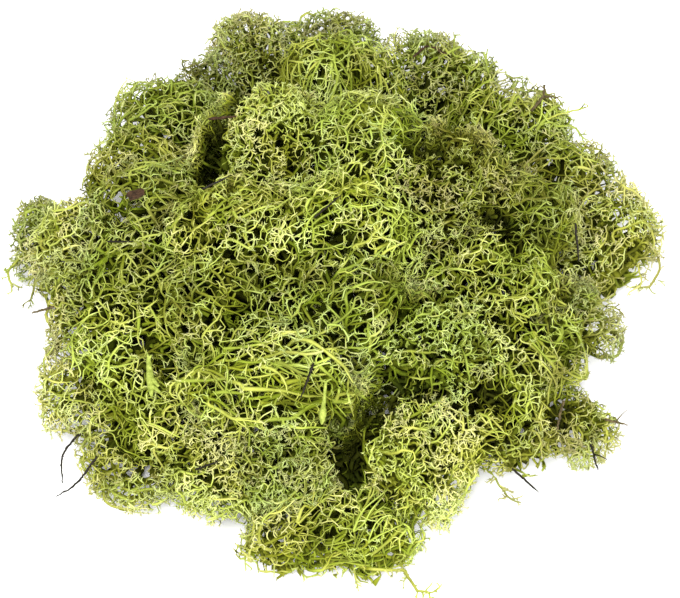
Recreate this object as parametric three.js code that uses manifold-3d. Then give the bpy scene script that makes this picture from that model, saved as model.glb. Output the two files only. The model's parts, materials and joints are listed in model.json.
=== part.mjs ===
// A clump of reindeer moss: cushions of branched lichen that grew side by side and still hold together,
// with the needles, sticks and bark that they caught on the forest floor.
// Millimetres, +Z up. The clump rests on z = 0, and its box is centred over x = y = 0.
import * as THREE from 'three';
import { ConvexGeometry } from 'three/addons/geometries/ConvexGeometry.js';
import { mergeVertices } from 'three/addons/utils/BufferGeometryUtils.js';
import Module from 'manifold-3d';

const wasm = await Module();
wasm.setup();

// The clump as a whole: a low dome whose heads spread out from a smaller foot.
const HALF_LENGTH = 88;
const HALF_DEPTH = 85;
const HEIGHT = 60;
const DOME_ROUNDNESS = 0.7;
const FOOT_SHARE = 0.56;
const FOOT_WIDTH = 1.0;
const HEAD_CLEARANCE = 1.5;

// Neighbours touch through this gap, and litter lies in its channel with the same one.
const GAP = 0.3;
const WALL_BLOCK = 400;

// A tuft's head is an ellipsoid with low waves over it.
const HEAD_DETAIL = 2;
const FOOT_SIDES = 8;
const WAVE_HEIGHT = 0.06;
const WAVE_PITCH = 3.1;

// Litter is a straight or bent rod with a few flat sides.
const ROD_SIDES = 6;
const ROD_STEP = 3.5;
const ROD_SINK = 0.35;
const ROD_DROP = 5;
const SEAT_REACH = 1.2;
const PATH_SAMPLES = 12;
const BRANCH_SHARE = 0.8;

const LICHEN_ROUGHNESS = 0.95;
const LITTER_ROUGHNESS = 0.8;

const COLOURS = {
  lime: 0x9bb043,
  yellow: 0xb3b765,
  pale: 0xbcc07c,
  green: 0x7f9a35,
  olive: 0x7b8440,
  dark: 0x5c6630,
  needle: 0x2c2a20,
  stick: 0x54452f,
  bark: 0x6b4a2c,
  stalk: 0x8fa04a,
};

// Each tuft: the place of its head over the ground, the half sizes of the head along x, y and z,
// and how far its top stays under the dome, where it does.
const TUFTS = [
  { name: 'left_edge_tuft', at: [-77, 17], head: [9, 11, 9], colour: 'dark' },
  { name: 'left_pale_tuft', at: [-65, 9], head: [14, 14, 13], colour: 'pale' },
  { name: 'left_lower_olive_tuft', at: [-64, -11], head: [13, 13, 12], colour: 'olive' },
  { name: 'left_low_yellow_tuft', at: [-63, -33], head: [13, 13, 12], colour: 'pale' },
  { name: 'front_left_tuft', at: [-51, -51], head: [14, 13, 12], colour: 'yellow' },
  { name: 'front_left_dome', at: [-28, -57], head: [16, 14, 13], colour: 'yellow' },
  { name: 'front_fringe_tuft', at: [-6, -72], head: [22, 11, 12], colour: 'yellow' },
  { name: 'front_strand_tuft', at: [10, -72], head: [13, 12, 12], colour: 'lime' },
  { name: 'front_right_dome', at: [22, -54], head: [17, 16, 16], colour: 'yellow' },
  { name: 'front_right_tuft', at: [46, -46], head: [15, 13, 12], colour: 'olive' },
  { name: 'right_corner_tuft', at: [63, -41], head: [11, 10, 9], colour: 'yellow' },
  { name: 'right_low_green_tuft', at: [62, -17], head: [12, 12, 11], colour: 'dark' },
  { name: 'right_pale_tuft', at: [73, 13], head: [14, 18, 14], colour: 'pale' },
  { name: 'back_right_tuft', at: [61, 28], head: [15, 15, 13], colour: 'olive' },
  { name: 'back_right_lime_tuft', at: [47, 46], head: [17, 15, 14], colour: 'lime' },
  { name: 'back_olive_tuft', at: [26, 60], head: [19, 15, 15], colour: 'dark' },
  { name: 'back_rim_tuft', at: [-1, 74], head: [16, 12, 12], colour: 'dark' },
  { name: 'back_left_knob', at: [-23, 74], head: [11, 11, 12], colour: 'olive' },
  { name: 'back_left_low_tuft', at: [-34, 60], head: [12, 12, 10], sunk: 8, colour: 'dark' },
  { name: 'back_left_tuft', at: [-44, 44], head: [17, 17, 14], colour: 'green' },
  { name: 'left_shoulder_tuft', at: [-52, 24], head: [16, 16, 13], colour: 'olive' },
  { name: 'crown_stalk_tuft', at: [-1, 55], head: [17, 16, 14], colour: 'lime' },
  { name: 'crown_dome', at: [-18, 28], head: [19, 18, 16], colour: 'yellow' },
  { name: 'crown_right_tuft', at: [9, 24], head: [17, 18, 15], colour: 'green' },
  { name: 'left_middle_tuft', at: [-46, 9], head: [18, 16, 14], colour: 'green' },
  { name: 'centre_left_net', at: [-24, -2], head: [20, 17, 15], colour: 'yellow' },
  { name: 'centre_net', at: [2, -3], head: [20, 17, 15], colour: 'lime' },
  { name: 'centre_right_tuft', at: [29, 14], head: [18, 19, 15], colour: 'yellow' },
  { name: 'right_shadow_tuft', at: [48, 6], head: [17, 16, 13], colour: 'dark' },
  { name: 'right_middle_net', at: [41, -14], head: [19, 16, 14], colour: 'lime' },
  { name: 'left_green_tuft', at: [-49, -9], head: [17, 15, 14], colour: 'green' },
  { name: 'left_lime_tuft', at: [-51, -26], head: [17, 13, 13], colour: 'lime' },
  { name: 'middle_left_tuft', at: [-27, -21], head: [19, 16, 14], colour: 'lime' },
  { name: 'middle_tuft', at: [2, -23], head: [19, 16, 14], colour: 'green' },
  { name: 'stalk_mat', at: [-16, -40], head: [28, 16, 15], colour: 'lime' },
  { name: 'lower_left_tuft', at: [-45, -42], head: [15, 15, 13], colour: 'olive' },
  { name: 'lower_middle_tuft', at: [-13, -57], head: [15, 13, 12], colour: 'green' },
  { name: 'lower_right_tuft', at: [24, -31], head: [19, 15, 15], colour: 'green' },
  { name: 'right_fan_tuft', at: [48, -29], head: [18, 14, 13], colour: 'lime' },
  { name: 'right_low_tuft', at: [39, -43], head: [14, 12, 12], colour: 'olive' },
];

// Each rod of litter: points over the ground with the rise of its axis above what it lies on,
// and where it forks, how far its branch runs from its middle.
const LITTER = [
  { name: 'horn_stalk', thick: 2.0, colour: 'stalk', path: [[-46, -35, 1], [-45, -45, 1]] },
  { name: 'spindle_stalk', thick: 2.2, colour: 'stalk', path: [[-2, -46, 1], [-3, -55, 1]] },
  { name: 'needle_back_left', thick: 0.8, colour: 'needle', path: [[-33, 4, 0], [-26, 7, 1]] },
  { name: 'needle_left', thick: 0.8, colour: 'needle', path: [[-57, -5, 0], [-50, -7, 1]] },
  { name: 'needle_centre', thick: 0.8, colour: 'needle', path: [[-5, -7, 1], [2, -1, 1]] },
  { name: 'needle_front_left', thick: 0.8, colour: 'needle', path: [[-34, -63, 0], [-28, -62, 1]] },
  { name: 'needle_front_right', thick: 0.9, colour: 'needle', path: [[44, -59, 0], [51, -64, 1]] },
  { name: 'notched_stick', thick: 0.9, colour: 'needle', path: [[-5, -42, 1], [-8, -50, 1]] },
  { name: 'left_stick', thick: 0.9, colour: 'stick', path: [[-71, -17, 0], [-77, -16, 0]] },
  {
    name: 'left_hooked_twig',
    thick: 0.8,
    colour: 'needle',
    path: [[-63, -46, 0], [-68, -52, 3], [-68, -59, 1]],
  },
  {
    name: 'front_left_bent_twig',
    thick: 0.9,
    colour: 'needle',
    path: [[-59, -55, 0], [-64, -61, 2], [-69, -64, 1]],
  },
  {
    name: 'back_right_twig',
    thick: 1.0,
    colour: 'stick',
    path: [[52, 43, 0], [55, 47, 1], [56, 52, 1]],
    branch: [4, -1, 1],
  },
  {
    name: 'back_curved_twig',
    thick: 1.0,
    colour: 'bark',
    path: [[21, 60, 0], [25, 63, 1], [30, 61, 0]],
  },
  { name: 'right_dark_stem', thick: 0.9, colour: 'needle', path: [[61, 2, 1], [62, -6, 1]] },
  { name: 'lower_right_stick', thick: 1.0, colour: 'stick', path: [[57, -43, 1], [55, -51, 1]] },
  {
    name: 'right_corner_twig',
    thick: 0.8,
    colour: 'needle',
    path: [[64, -49, 0], [66, -56, 2]],
    branch: [3, -2, 1],
  },
  {
    name: 'right_forked_twig',
    thick: 0.8,
    colour: 'stick',
    path: [[68, -44, 0], [74, -44, 2]],
    branch: [3, 3, 1],
  },
  { name: 'reddish_twig', thick: 1.1, colour: 'bark', path: [[-32, 28, 0], [-25, 26, 1]] },
];

// A flat flake of bark that lies on the left shoulder of the clump.
const FLAKE = { name: 'bark_flake', at: [-50, 7], size: [4.6, 2.6, 0.9], turn: 0.4, colour: 'bark' };

/** Turns a closed geometry into a solid for cutting and joining. */
function toSolid(geometry) {
  const bare = geometry.clone();
  bare.deleteAttribute('normal');
  bare.deleteAttribute('uv');
  const merged = mergeVertices(bare, 1e-4);
  const vertProperties = Float32Array.from(merged.attributes.position.array);
  const triVerts = Uint32Array.from(merged.index.array);
  return new wasm.Manifold(new wasm.Mesh({ numProp: 3, vertProperties, triVerts }));
}

/** Gives a solid back as a geometry with flat faces. */
function toGeometry(solid) {
  const mesh = solid.getMesh();
  const geometry = new THREE.BufferGeometry();
  geometry.setAttribute('position', new THREE.BufferAttribute(mesh.vertProperties, 3));
  geometry.setIndex(new THREE.BufferAttribute(mesh.triVerts, 1));
  const flat = geometry.toNonIndexed();
  flat.computeVertexNormals();
  return flat;
}

/** Height of the smooth dome over a point of the ground. */
function domeHeight(x, y) {
  const out = (x / HALF_LENGTH) ** 2 + (y / HALF_DEPTH) ** 2;
  return HEIGHT * Math.max(0, 1 - out) ** DOME_ROUNDNESS;
}

/** Centre of a tuft's head, just under the dome, and never so low that the head lies on the ground. */
function headCentre(tuft) {
  const [x, y] = tuft.at;
  const rise = tuft.head[2];
  return new THREE.Vector3(x, y, Math.max(rise + HEAD_CLEARANCE, domeHeight(x, y) - rise - (tuft.sunk ?? 0)));
}

/** Centre of a tuft's foot, closer to the middle of the clump than its head. */
function footCentre(tuft) {
  return new THREE.Vector3(tuft.at[0] * FOOT_SHARE, tuft.at[1] * FOOT_SHARE, 0);
}

/** A tuft before it meets its neighbours: a wavy head that narrows to a foot on the ground. */
function freeTuft(tuft, index) {
  const centre = headCentre(tuft);
  const foot = footCentre(tuft);
  const ball = mergeVertices(new THREE.IcosahedronGeometry(1, HEAD_DETAIL).deleteAttribute('uv'));
  const corners = ball.attributes.position;
  const points = [];
  for (let i = 0; i < corners.count; i += 1) {
    const out = new THREE.Vector3().fromBufferAttribute(corners, i);
    const wave = Math.sin(WAVE_PITCH * out.x + index) * Math.cos(WAVE_PITCH * out.y - 2 * index);
    out.multiply(new THREE.Vector3(...tuft.head));
    points.push(out.multiplyScalar(1 + WAVE_HEIGHT * wave).add(centre));
  }
  const footRadius = (FOOT_WIDTH * (tuft.head[0] + tuft.head[1])) / 2;
  for (let i = 0; i < FOOT_SIDES; i += 1) {
    const angle = (2 * Math.PI * (i + 0.5)) / FOOT_SIDES;
    const rim = new THREE.Vector3(Math.cos(angle), Math.sin(angle), 0).multiplyScalar(footRadius);
    points.push(rim.add(foot));
  }
  return toSolid(new ConvexGeometry(points));
}

/** All the space on the far side of a plane, as a block large enough to cut any tuft. */
function blockBeyond(point, normal) {
  const block = new THREE.BoxGeometry(WALL_BLOCK, WALL_BLOCK, WALL_BLOCK);
  block.translate(0, 0, WALL_BLOCK / 2);
  block.applyQuaternion(new THREE.Quaternion().setFromUnitVectors(new THREE.Vector3(0, 0, 1), normal));
  block.translate(point.x, point.y, point.z);
  return toSolid(block);
}

/** The plane where two tufts press on each other: it follows both from foot to head. */
function sharedWall(one, other) {
  const between = headCentre(other).sub(headCentre(one));
  const heading = new THREE.Vector2(between.x, between.y).normalize();
  const reach = (tuft) => 1 / Math.hypot(heading.x / tuft.head[0], heading.y / tuft.head[1]);
  const share = reach(one) / (reach(one) + reach(other));
  const atHeads = headCentre(one).lerp(headCentre(other), share);
  const atFeet = footCentre(one).lerp(footCentre(other), share);
  const along = atHeads.clone().sub(atFeet).normalize();
  const normal = between.addScaledVector(along, -between.dot(along)).normalize();
  return { point: atHeads, normal };
}

/** Every tuft, cut by the ground and by the walls that it shares with its neighbours. */
function pressedTufts() {
  const free = TUFTS.map(freeTuft);
  const ground = blockBeyond(new THREE.Vector3(), new THREE.Vector3(0, 0, -1));
  return TUFTS.map((tuft, i) => {
    let solid = free[i].subtract(ground);
    TUFTS.forEach((other, j) => {
      if (j === i || free[i].intersect(free[j]).isEmpty()) return;
      const { point, normal } = sharedWall(tuft, other);
      const face = point.clone().addScaledVector(normal, -GAP / 2);
      solid = solid.subtract(blockBeyond(face, normal));
    });
    return solid;
  });
}

/** Height of whatever lies under a point or close beside it: a tuft's top or the ground. */
function surfaceHeight(meshes, x, y) {
  let height = 0;
  for (const [dx, dy] of [[0, 0], [SEAT_REACH, 0], [-SEAT_REACH, 0], [0, SEAT_REACH], [0, -SEAT_REACH]]) {
    const above = new THREE.Vector3(x + dx, y + dy, 2 * HEIGHT);
    const hits = new THREE.Raycaster(above, new THREE.Vector3(0, 0, -1)).intersectObjects(meshes, false);
    if (hits.length > 0) height = Math.max(height, hits[0].point.z);
  }
  return height;
}

/** A rod's axis from where it is caught, raised until it only just dips into what it lies on. */
function laidPath(meshes, path, radius) {
  const lowest = surfaceHeight(meshes, path[0][0], path[0][1]) - ROD_DROP;
  const points = path.map(([x, y, rise]) => {
    return new THREE.Vector3(x, y, Math.max(lowest, surfaceHeight(meshes, x, y)) + rise);
  });
  const curve = new THREE.CatmullRomCurve3(points);
  let lift = -Infinity;
  for (const p of curve.getSpacedPoints(PATH_SAMPLES)) {
    lift = Math.max(lift, surfaceHeight(meshes, p.x, p.y) + radius - ROD_SINK - p.z);
  }
  return points.map((p) => p.clone().setZ(p.z + lift));
}

/** A rod of even thickness along a few points, longer by the given amount at both ends. */
function rod(points, radius, extra) {
  const first = points[0].clone().sub(points[1]).setLength(extra).add(points[0]);
  const last = points.at(-1).clone().sub(points.at(-2)).setLength(extra).add(points.at(-1));
  const curve = new THREE.CatmullRomCurve3([first, ...points.slice(1, -1), last]);
  const steps = Math.max(2, Math.round(curve.getLength() / ROD_STEP));
  const section = new THREE.Shape();
  for (let i = 0; i < ROD_SIDES; i += 1) {
    const angle = (2 * Math.PI * i) / ROD_SIDES;
    const corner = [radius * Math.cos(angle), radius * Math.sin(angle)];
    if (i === 0) section.moveTo(...corner);
    else section.lineTo(...corner);
  }
  return toSolid(new THREE.ExtrudeGeometry(section, { extrudePath: curve, steps, curveSegments: 1 }));
}

/** One piece of litter and the slightly wider channel that it lies in. */
function litterPiece(meshes, item) {
  const radius = item.thick / 2;
  const main = laidPath(meshes, item.path, radius);
  let piece = rod(main, radius, 0);
  let channel = rod(main, radius + GAP, GAP);
  if (item.branch) {
    const start = new THREE.CatmullRomCurve3(main).getPoint(0.5);
    const end = start.clone().add(new THREE.Vector3(...item.branch));
    piece = piece.add(rod([start, end], BRANCH_SHARE * radius, 0));
    channel = channel.add(rod([start, end], BRANCH_SHARE * radius + GAP, GAP));
  }
  return { piece, channel };
}

/** The flake of bark and the slightly larger bed that it lies in. */
function flakePiece(meshes) {
  const [x, y] = FLAKE.at;
  const height = surfaceHeight(meshes, x, y);
  const block = (grow) => {
    const size = FLAKE.size.map((side) => side + 2 * grow);
    const box = new THREE.BoxGeometry(...size);
    box.rotateZ(FLAKE.turn);
    box.translate(x, y, height);
    return toSolid(box);
  };
  return { piece: block(0), channel: block(GAP) };
}

/** A named mesh in its own material. */
function namedMesh(name, solid, colour, roughness) {
  const material = new THREE.MeshStandardMaterial({ color: COLOURS[colour], roughness, metalness: 0 });
  const mesh = new THREE.Mesh(toGeometry(solid), material);
  mesh.name = name;
  return mesh;
}

/** Every tuft's solid as a named mesh. */
function tuftMeshes(solids) {
  return TUFTS.map((tuft, i) => namedMesh(tuft.name, solids[i], tuft.colour, LICHEN_ROUGHNESS));
}

/** The whole clump, centred over the origin. */
function mossClump() {
  let solids = pressedTufts();
  const bare = tuftMeshes(solids);
  const litter = [];
  for (const item of [...LITTER, FLAKE]) {
    const { piece, channel } = item === FLAKE ? flakePiece(bare) : litterPiece(bare, item);
    litter.push(namedMesh(item.name, piece, item.colour, LITTER_ROUGHNESS));
    solids = solids.map((solid) => solid.subtract(channel));
  }
  const clump = new THREE.Group();
  clump.name = 'reindeer_moss_clump';
  clump.add(...tuftMeshes(solids), ...litter);
  const box = new THREE.Box3().setFromObject(clump);
  const middle = box.getCenter(new THREE.Vector3());
  clump.position.set(-middle.x, -middle.y, -box.min.z);
  return clump;
}

export default mossClump();
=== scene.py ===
"""A loose clump of reindeer moss: forty tufts of branching lichen with litter caught in them.

Every tuft is grown as a skeleton of branches inside the space that its solid holds. Geometry Nodes
turn the skeleton into tapering strands and set small forked prongs on the tips. Lengths are in
millimetres until a mesh is made, which is in metres.
"""

import json
import logging
import math
from dataclasses import dataclass, field
from enum import Enum

import bpy
import numpy as np
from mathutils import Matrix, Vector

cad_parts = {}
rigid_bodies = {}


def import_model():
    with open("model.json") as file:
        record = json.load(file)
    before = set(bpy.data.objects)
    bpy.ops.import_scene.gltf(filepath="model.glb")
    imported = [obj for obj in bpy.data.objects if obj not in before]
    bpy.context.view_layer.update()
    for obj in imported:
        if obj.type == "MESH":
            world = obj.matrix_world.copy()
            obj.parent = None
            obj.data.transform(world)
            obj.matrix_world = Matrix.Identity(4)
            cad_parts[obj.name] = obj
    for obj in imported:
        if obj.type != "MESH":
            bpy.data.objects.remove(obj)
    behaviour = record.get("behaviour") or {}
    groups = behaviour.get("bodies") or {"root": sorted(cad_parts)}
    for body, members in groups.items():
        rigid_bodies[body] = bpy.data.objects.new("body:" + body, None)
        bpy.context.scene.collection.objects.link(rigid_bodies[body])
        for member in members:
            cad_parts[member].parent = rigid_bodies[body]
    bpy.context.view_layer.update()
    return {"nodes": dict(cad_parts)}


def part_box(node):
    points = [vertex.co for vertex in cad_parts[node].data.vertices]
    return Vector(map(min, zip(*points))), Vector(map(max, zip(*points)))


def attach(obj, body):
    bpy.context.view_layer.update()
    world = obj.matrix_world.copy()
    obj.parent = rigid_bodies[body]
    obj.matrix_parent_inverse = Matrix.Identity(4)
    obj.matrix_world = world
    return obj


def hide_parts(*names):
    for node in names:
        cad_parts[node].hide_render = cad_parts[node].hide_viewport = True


MM = 0.001
BODY = "root"
BAKE_MAP = "OFBake"
LOG = logging.getLogger("moss")
UP = np.array([0.0, 0.0, 1.0])


def unit(vectors: np.ndarray) -> np.ndarray:
    """Scales vectors, one a row, to length one."""
    return vectors / np.maximum(np.linalg.norm(vectors, axis=-1, keepdims=True), 1e-9)


def linear(colour: tuple[int, int, int]) -> tuple[float, float, float, float]:
    """Turns a screen colour, from 0 to 255, into the linear colour that a shader takes."""
    shares = [level / 255 for level in colour]
    return (*(s / 12.92 if s <= 0.04045 else ((s + 0.055) / 1.055) ** 2.4 for s in shares), 1.0)


class Signal:
    """A value on its way between nodes; sums written with it become Math nodes."""

    def __init__(self, bench: "Bench", socket: bpy.types.NodeSocket) -> None:
        """Wraps the output socket that the value comes from."""
        self.bench = bench
        self.socket = socket

    def __add__(self, other: "Signal | float") -> "Signal":
        """Adds."""
        return self.bench.sum_of("ADD", self, other)

    __radd__ = __add__

    def __sub__(self, other: "Signal | float") -> "Signal":
        """Takes the other away from this."""
        return self.bench.sum_of("SUBTRACT", self, other)

    def __rsub__(self, other: float) -> "Signal":
        """Takes this away from the other."""
        return self.bench.sum_of("SUBTRACT", other, self)

    def __mul__(self, other: "Signal | float") -> "Signal":
        """Multiplies."""
        return self.bench.sum_of("MULTIPLY", self, other)

    __rmul__ = __mul__

    def __truediv__(self, other: "Signal | float") -> "Signal":
        """Divides this by the other."""
        return self.bench.sum_of("DIVIDE", self, other)


class Bench:
    """Puts nodes on a tree and joins them up."""

    def __init__(self, tree: bpy.types.NodeTree) -> None:
        """Takes the tree to work on."""
        self.tree = tree

    def put(
        self, kind: str, settings: dict | None = None, inputs: dict | None = None
    ) -> bpy.types.Node:
        """Adds a node.

        Args:
            kind: the node's type.
            settings: properties to set first; "stops" sets the stops of a colour ramp.
            inputs: values or signals by the name or number of the input socket.

        Returns:
            The new node.
        """
        node = self.tree.nodes.new(kind)
        for name, value in (settings or {}).items():
            if name == "stops":
                self._set_stops(node.color_ramp, value)
            else:
                setattr(node, name, value)
        for key, value in (inputs or {}).items():
            if isinstance(value, Signal):
                self.tree.links.new(value.socket, node.inputs[key])
            else:
                node.inputs[key].default_value = value
        return node

    def get(
        self,
        kind: str,
        settings: dict | None = None,
        inputs: dict | None = None,
        output: int | str = 0,
    ) -> Signal:
        """Adds a node and returns what comes out of one of its outputs.

        Args:
            kind: the node's type.
            settings: properties to set first.
            inputs: values or signals by input socket.
            output: the output socket's name or number.

        Returns:
            The signal from that output.
        """
        return Signal(self, self.put(kind, settings, inputs).outputs[output])

    def sum_of(self, operation: str, one: "Signal | float", other: "Signal | float") -> Signal:
        """Adds a Math node for two values."""
        return self.get("ShaderNodeMath", {"operation": operation}, {0: one, 1: other})

    def named(self, name: str, data_type: str = "FLOAT") -> Signal:
        """Reads an attribute of the geometry by its name."""
        return self.get("GeometryNodeInputNamedAttribute", {"data_type": data_type}, {"Name": name})

    def stored(self, geometry: Signal, name: str, value: Signal) -> Signal:
        """Keeps a value as an attribute on the points of a geometry."""
        inputs = {"Geometry": geometry, "Name": name, "Value": value}
        return self.get("GeometryNodeStoreNamedAttribute", {"data_type": "FLOAT"}, inputs)

    def chance(self, low: float, high: float, seed: "Signal | float") -> Signal:
        """Picks a random value between two for each point."""
        settings = {"data_type": "FLOAT"}
        return self.get("FunctionNodeRandomValue", settings, {2: low, 3: high, 8: seed}, 1)

    def swept(self, curve: Signal, ring: Signal) -> Signal:
        """Sweeps a ring along a curve into a closed tube, as wide as the curve's points say.

        Args:
            curve: the line.
            ring: the cross-section.

        Returns:
            The tube.
        """
        thick = self.named("thick")
        inputs = {"Curve": curve, "Profile Curve": ring, "Scale": thick, "Fill Caps": True}
        return self.get("GeometryNodeCurveToMesh", inputs=inputs)

    def tint(
        self, factor: "Signal | float", one: Signal, other: Signal, blend: str = "MIX"
    ) -> Signal:
        """Mixes two colours."""
        settings = {"data_type": "RGBA", "blend_type": blend}
        return self.get("ShaderNodeMix", settings, {0: factor, 6: one, 7: other}, 2)

    def skinned(self, colour: Signal, roughness: Signal, gloss: float, bump: dict) -> None:
        """Ends a material with its shader.

        Args:
            colour: the base colour.
            roughness: the roughness.
            gloss: how much it mirrors head on.
            bump: the Bump node's inputs.
        """
        inputs = {
            "Base Color": colour,
            "Roughness": roughness,
            "Normal": self.get("ShaderNodeBump", inputs=bump),
            "Specular IOR Level": gloss,
        }
        shader = self.get("ShaderNodeBsdfPrincipled", inputs=inputs)
        self.put("ShaderNodeOutputMaterial", inputs={"Surface": shader})

    def dressed(self, geometry: Signal, finish: Signal) -> None:
        """Ends a geometry tree: makes copies real and sets the material.

        Args:
            geometry: what the tree has made.
            finish: its material.
        """
        real = self.get("GeometryNodeRealizeInstances", inputs={0: geometry})
        done = self.get("GeometryNodeSetMaterial", inputs={"Geometry": real, "Material": finish})
        self.put("NodeGroupOutput", inputs={0: done})

    @staticmethod
    def _set_stops(ramp: bpy.types.ColorRamp, stops: list) -> None:
        """Gives a ramp its stops, each a place and a colour.

        Args:
            ramp: the colour ramp.
            stops: the places with their colours.
        """
        while len(ramp.elements) < len(stops):
            ramp.elements.new(0.5)
        for element, (place, colour) in zip(ramp.elements, stops):
            element.position = place
            element.color = colour


def open_material(name: str) -> tuple[bpy.types.Material, Bench]:
    """Starts a material with an empty node tree.

    Args:
        name: its name.

    Returns:
        The material and the bench for its nodes.
    """
    material = bpy.data.materials.new(name)
    material.use_nodes = True
    material.node_tree.nodes.clear()
    return material, Bench(material.node_tree)


def open_tree(name: str, inputs: dict[str, tuple]) -> tuple:
    """Starts a geometry node tree.

    Args:
        name: the tree's name.
        inputs: the kind and the usual value of each input besides the geometry, by name.

    Returns:
        The tree, its inputs' identifiers by name, its bench, and its inputs as signals by name.
    """
    tree = bpy.data.node_groups.new(name, "GeometryNodeTree")
    tree.interface.new_socket("Geometry", in_out="OUTPUT", socket_type="NodeSocketGeometry")
    tree.interface.new_socket("Geometry", in_out="INPUT", socket_type="NodeSocketGeometry")
    names = {}
    for key, (kind, value) in inputs.items():
        socket = tree.interface.new_socket(key, in_out="INPUT", socket_type=kind)
        if value is not None:
            socket.default_value = value
        names[key] = socket.identifier
    bench = Bench(tree)
    entry = bench.put("NodeGroupInput")
    return tree, names, bench, {s.name: Signal(bench, s) for s in entry.outputs if s.name}


def run_tree(
    tree: "StrandTree | RodTree", name: str, mesh: bpy.types.Mesh, values: dict
) -> bpy.types.Mesh:
    """Runs a mesh through a node tree and keeps the result as a plain mesh.

    Args:
        tree: the tree, with its inputs' identifiers and the attributes that it leaves over.
        name: name of the finished mesh.
        mesh: what the tree starts from; it is removed.
        values: the tree's inputs by name.

    Returns:
        The finished mesh.
    """
    carrier = bpy.data.objects.new(name + "_carrier", mesh)
    bpy.context.scene.collection.objects.link(carrier)
    modifier = carrier.modifiers.new("maker", "NODES")
    modifier.node_group = tree.tree
    for key, value in values.items():
        modifier[tree.names[key]] = value
    graph = bpy.context.evaluated_depsgraph_get()
    plain = bpy.data.meshes.new_from_object(carrier.evaluated_get(graph))
    bpy.data.objects.remove(carrier)
    bpy.data.meshes.remove(mesh)
    plain.name = name
    for extra in tree.SPARE:
        if extra in plain.attributes:
            plain.attributes.remove(plain.attributes[extra])
    return plain


def settle(name: str, mesh: bpy.types.Mesh, node: str) -> None:
    """Puts a finished piece on the body in the place of its solid, and reports it.

    Args:
        name: the piece's name.
        mesh: its mesh.
        node: the solid that it stands for.
    """
    piece = bpy.data.objects.new(name, mesh)
    bpy.context.scene.collection.objects.link(piece)
    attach(piece, BODY)
    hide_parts(node)
    LOG.info("%s: %d faces", name, len(mesh.polygons))


@dataclass(frozen=True)
class LichenFinish:
    """The colour of lichen strands, by how old and how weathered each strand is, and by painted
    shade deep in the clump.
    """

    name: str
    fresh: tuple[float, float, float]
    worn: tuple[float, float, float]
    # colours by age; the dark end also serves as painted shade for strands deep in the clump
    ages: tuple = (
        (0.0, (14, 15, 2)),
        (0.2, (54, 59, 9)),
        (0.45, (113, 119, 31)),
        (0.7, (163, 167, 82)),
        (1.0, (197, 197, 144)),
    )
    roughness: float = 0.68
    gloss: float = 0.05
    warm: tuple[float, float, float] = (1.04, 1.0, 1.03)
    cool: tuple[float, float, float] = (0.91, 0.98, 0.86)

    SPLIT = 0.495  # strands beyond this place across the map are cool
    SHIFT = 0.4488  # how far the cool half lies across the map
    STRETCH = (2.222, 0.088)  # turns a place in either half into its tone

    def _ramp(self, bench: Bench, age: Signal, tint: tuple[float, float, float]) -> Signal:
        """The colour at an age, tinted.

        Args:
            bench: the bench for the nodes.
            age: how old the moss is, darkened further by painted shade deep inside.
            tint: what the colours are multiplied with.

        Returns:
            The colour.
        """
        stops = []
        for place, colour in self.ages:
            tinted = (min(1.0, base * part) for base, part in zip(linear(colour), tint))
            stops.append((place, (*tinted, 1.0)))
        return bench.get("ShaderNodeValToRGB", {"stops": stops}, {0: age})

    def make(self) -> bpy.types.Material:
        """Builds the material: older strands and those in painted shade are darker, weathered ones
        paler and greyer.

        Returns:
            The finished material.
        """
        material, bench = open_material(self.name)
        place = bench.get("ShaderNodeUVMap", {"uv_map": BAKE_MAP})
        parts = bench.put("ShaderNodeSeparateXYZ", inputs={0: place})
        across, age = Signal(bench, parts.outputs["X"]), Signal(bench, parts.outputs["Y"])
        cool = bench.sum_of("GREATER_THAN", across, self.SPLIT)
        tone = self.STRETCH[0] * (across - self.SHIFT * cool) - self.STRETCH[1]
        fleck = bench.get(
            "ShaderNodeTexNoise",
            {"noise_dimensions": "2D"},
            {"Vector": place, "Scale": 90.0, "Detail": 3.0},
        )
        weathering = bench.get(
            "ShaderNodeMapRange",
            {"interpolation_type": "SMOOTHSTEP"},
            {0: tone + 0.25 * (fleck - 0.5), 1: 0.05, 2: 0.5, 3: 1.0, 4: 0.0},
        )
        fresh, worn = (self._ramp(bench, age, tint) for tint in (self.fresh, self.worn))
        colour = bench.tint(weathering, fresh, worn)
        # the tone brightens or darkens the colour; it carries painted shade or light on a tuft as
        # well as its freshness
        light = 0.5 + 0.9 * tone + 0.3 * (fleck - 0.5)
        shift = [light * (one + (other - one) * cool) for one, other in zip(self.warm, self.cool)]
        grey = bench.get("ShaderNodeCombineColor", inputs=dict(enumerate(shift)))
        bench.skinned(
            bench.tint(1.0, colour, grey, "MULTIPLY"),
            self.roughness + 0.25 * fleck,
            self.gloss,
            {"Strength": 0.25, "Distance": 0.08 * MM, "Height": fleck},
        )
        return material


@dataclass(frozen=True)
class WoodFinish:
    """Bark, needle or bare stalk: streaked along the grain and blotched."""

    name: str
    dark: tuple[int, int, int]
    light: tuple[int, int, int]
    roughness: float
    grain: float = 900.0
    relief: float = 0.15
    gloss: float = 0.15

    def make(self) -> bpy.types.Material:
        """Builds the material.

        Returns:
            The finished material.
        """
        material, bench = open_material(self.name)
        place = bench.get("ShaderNodeTexCoord", output="Object")
        blotch, speck = (
            bench.get(
                "ShaderNodeTexNoise",
                inputs={"Vector": place, "Scale": times * self.grain, "Detail": detail},
            )
            for times, detail in ((1, 4.0), (3, 2.0))
        )
        mixed = 0.65 * blotch + 0.35 * speck
        stops = [(0.32, linear(self.dark)), (0.68, linear(self.light))]
        bench.skinned(
            bench.get("ShaderNodeValToRGB", {"stops": stops}, {0: mixed}),
            self.roughness + 0.25 * (mixed - 0.5),
            self.gloss,
            {"Strength": 0.6, "Distance": self.relief * MM, "Height": mixed},
        )
        return material


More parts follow.
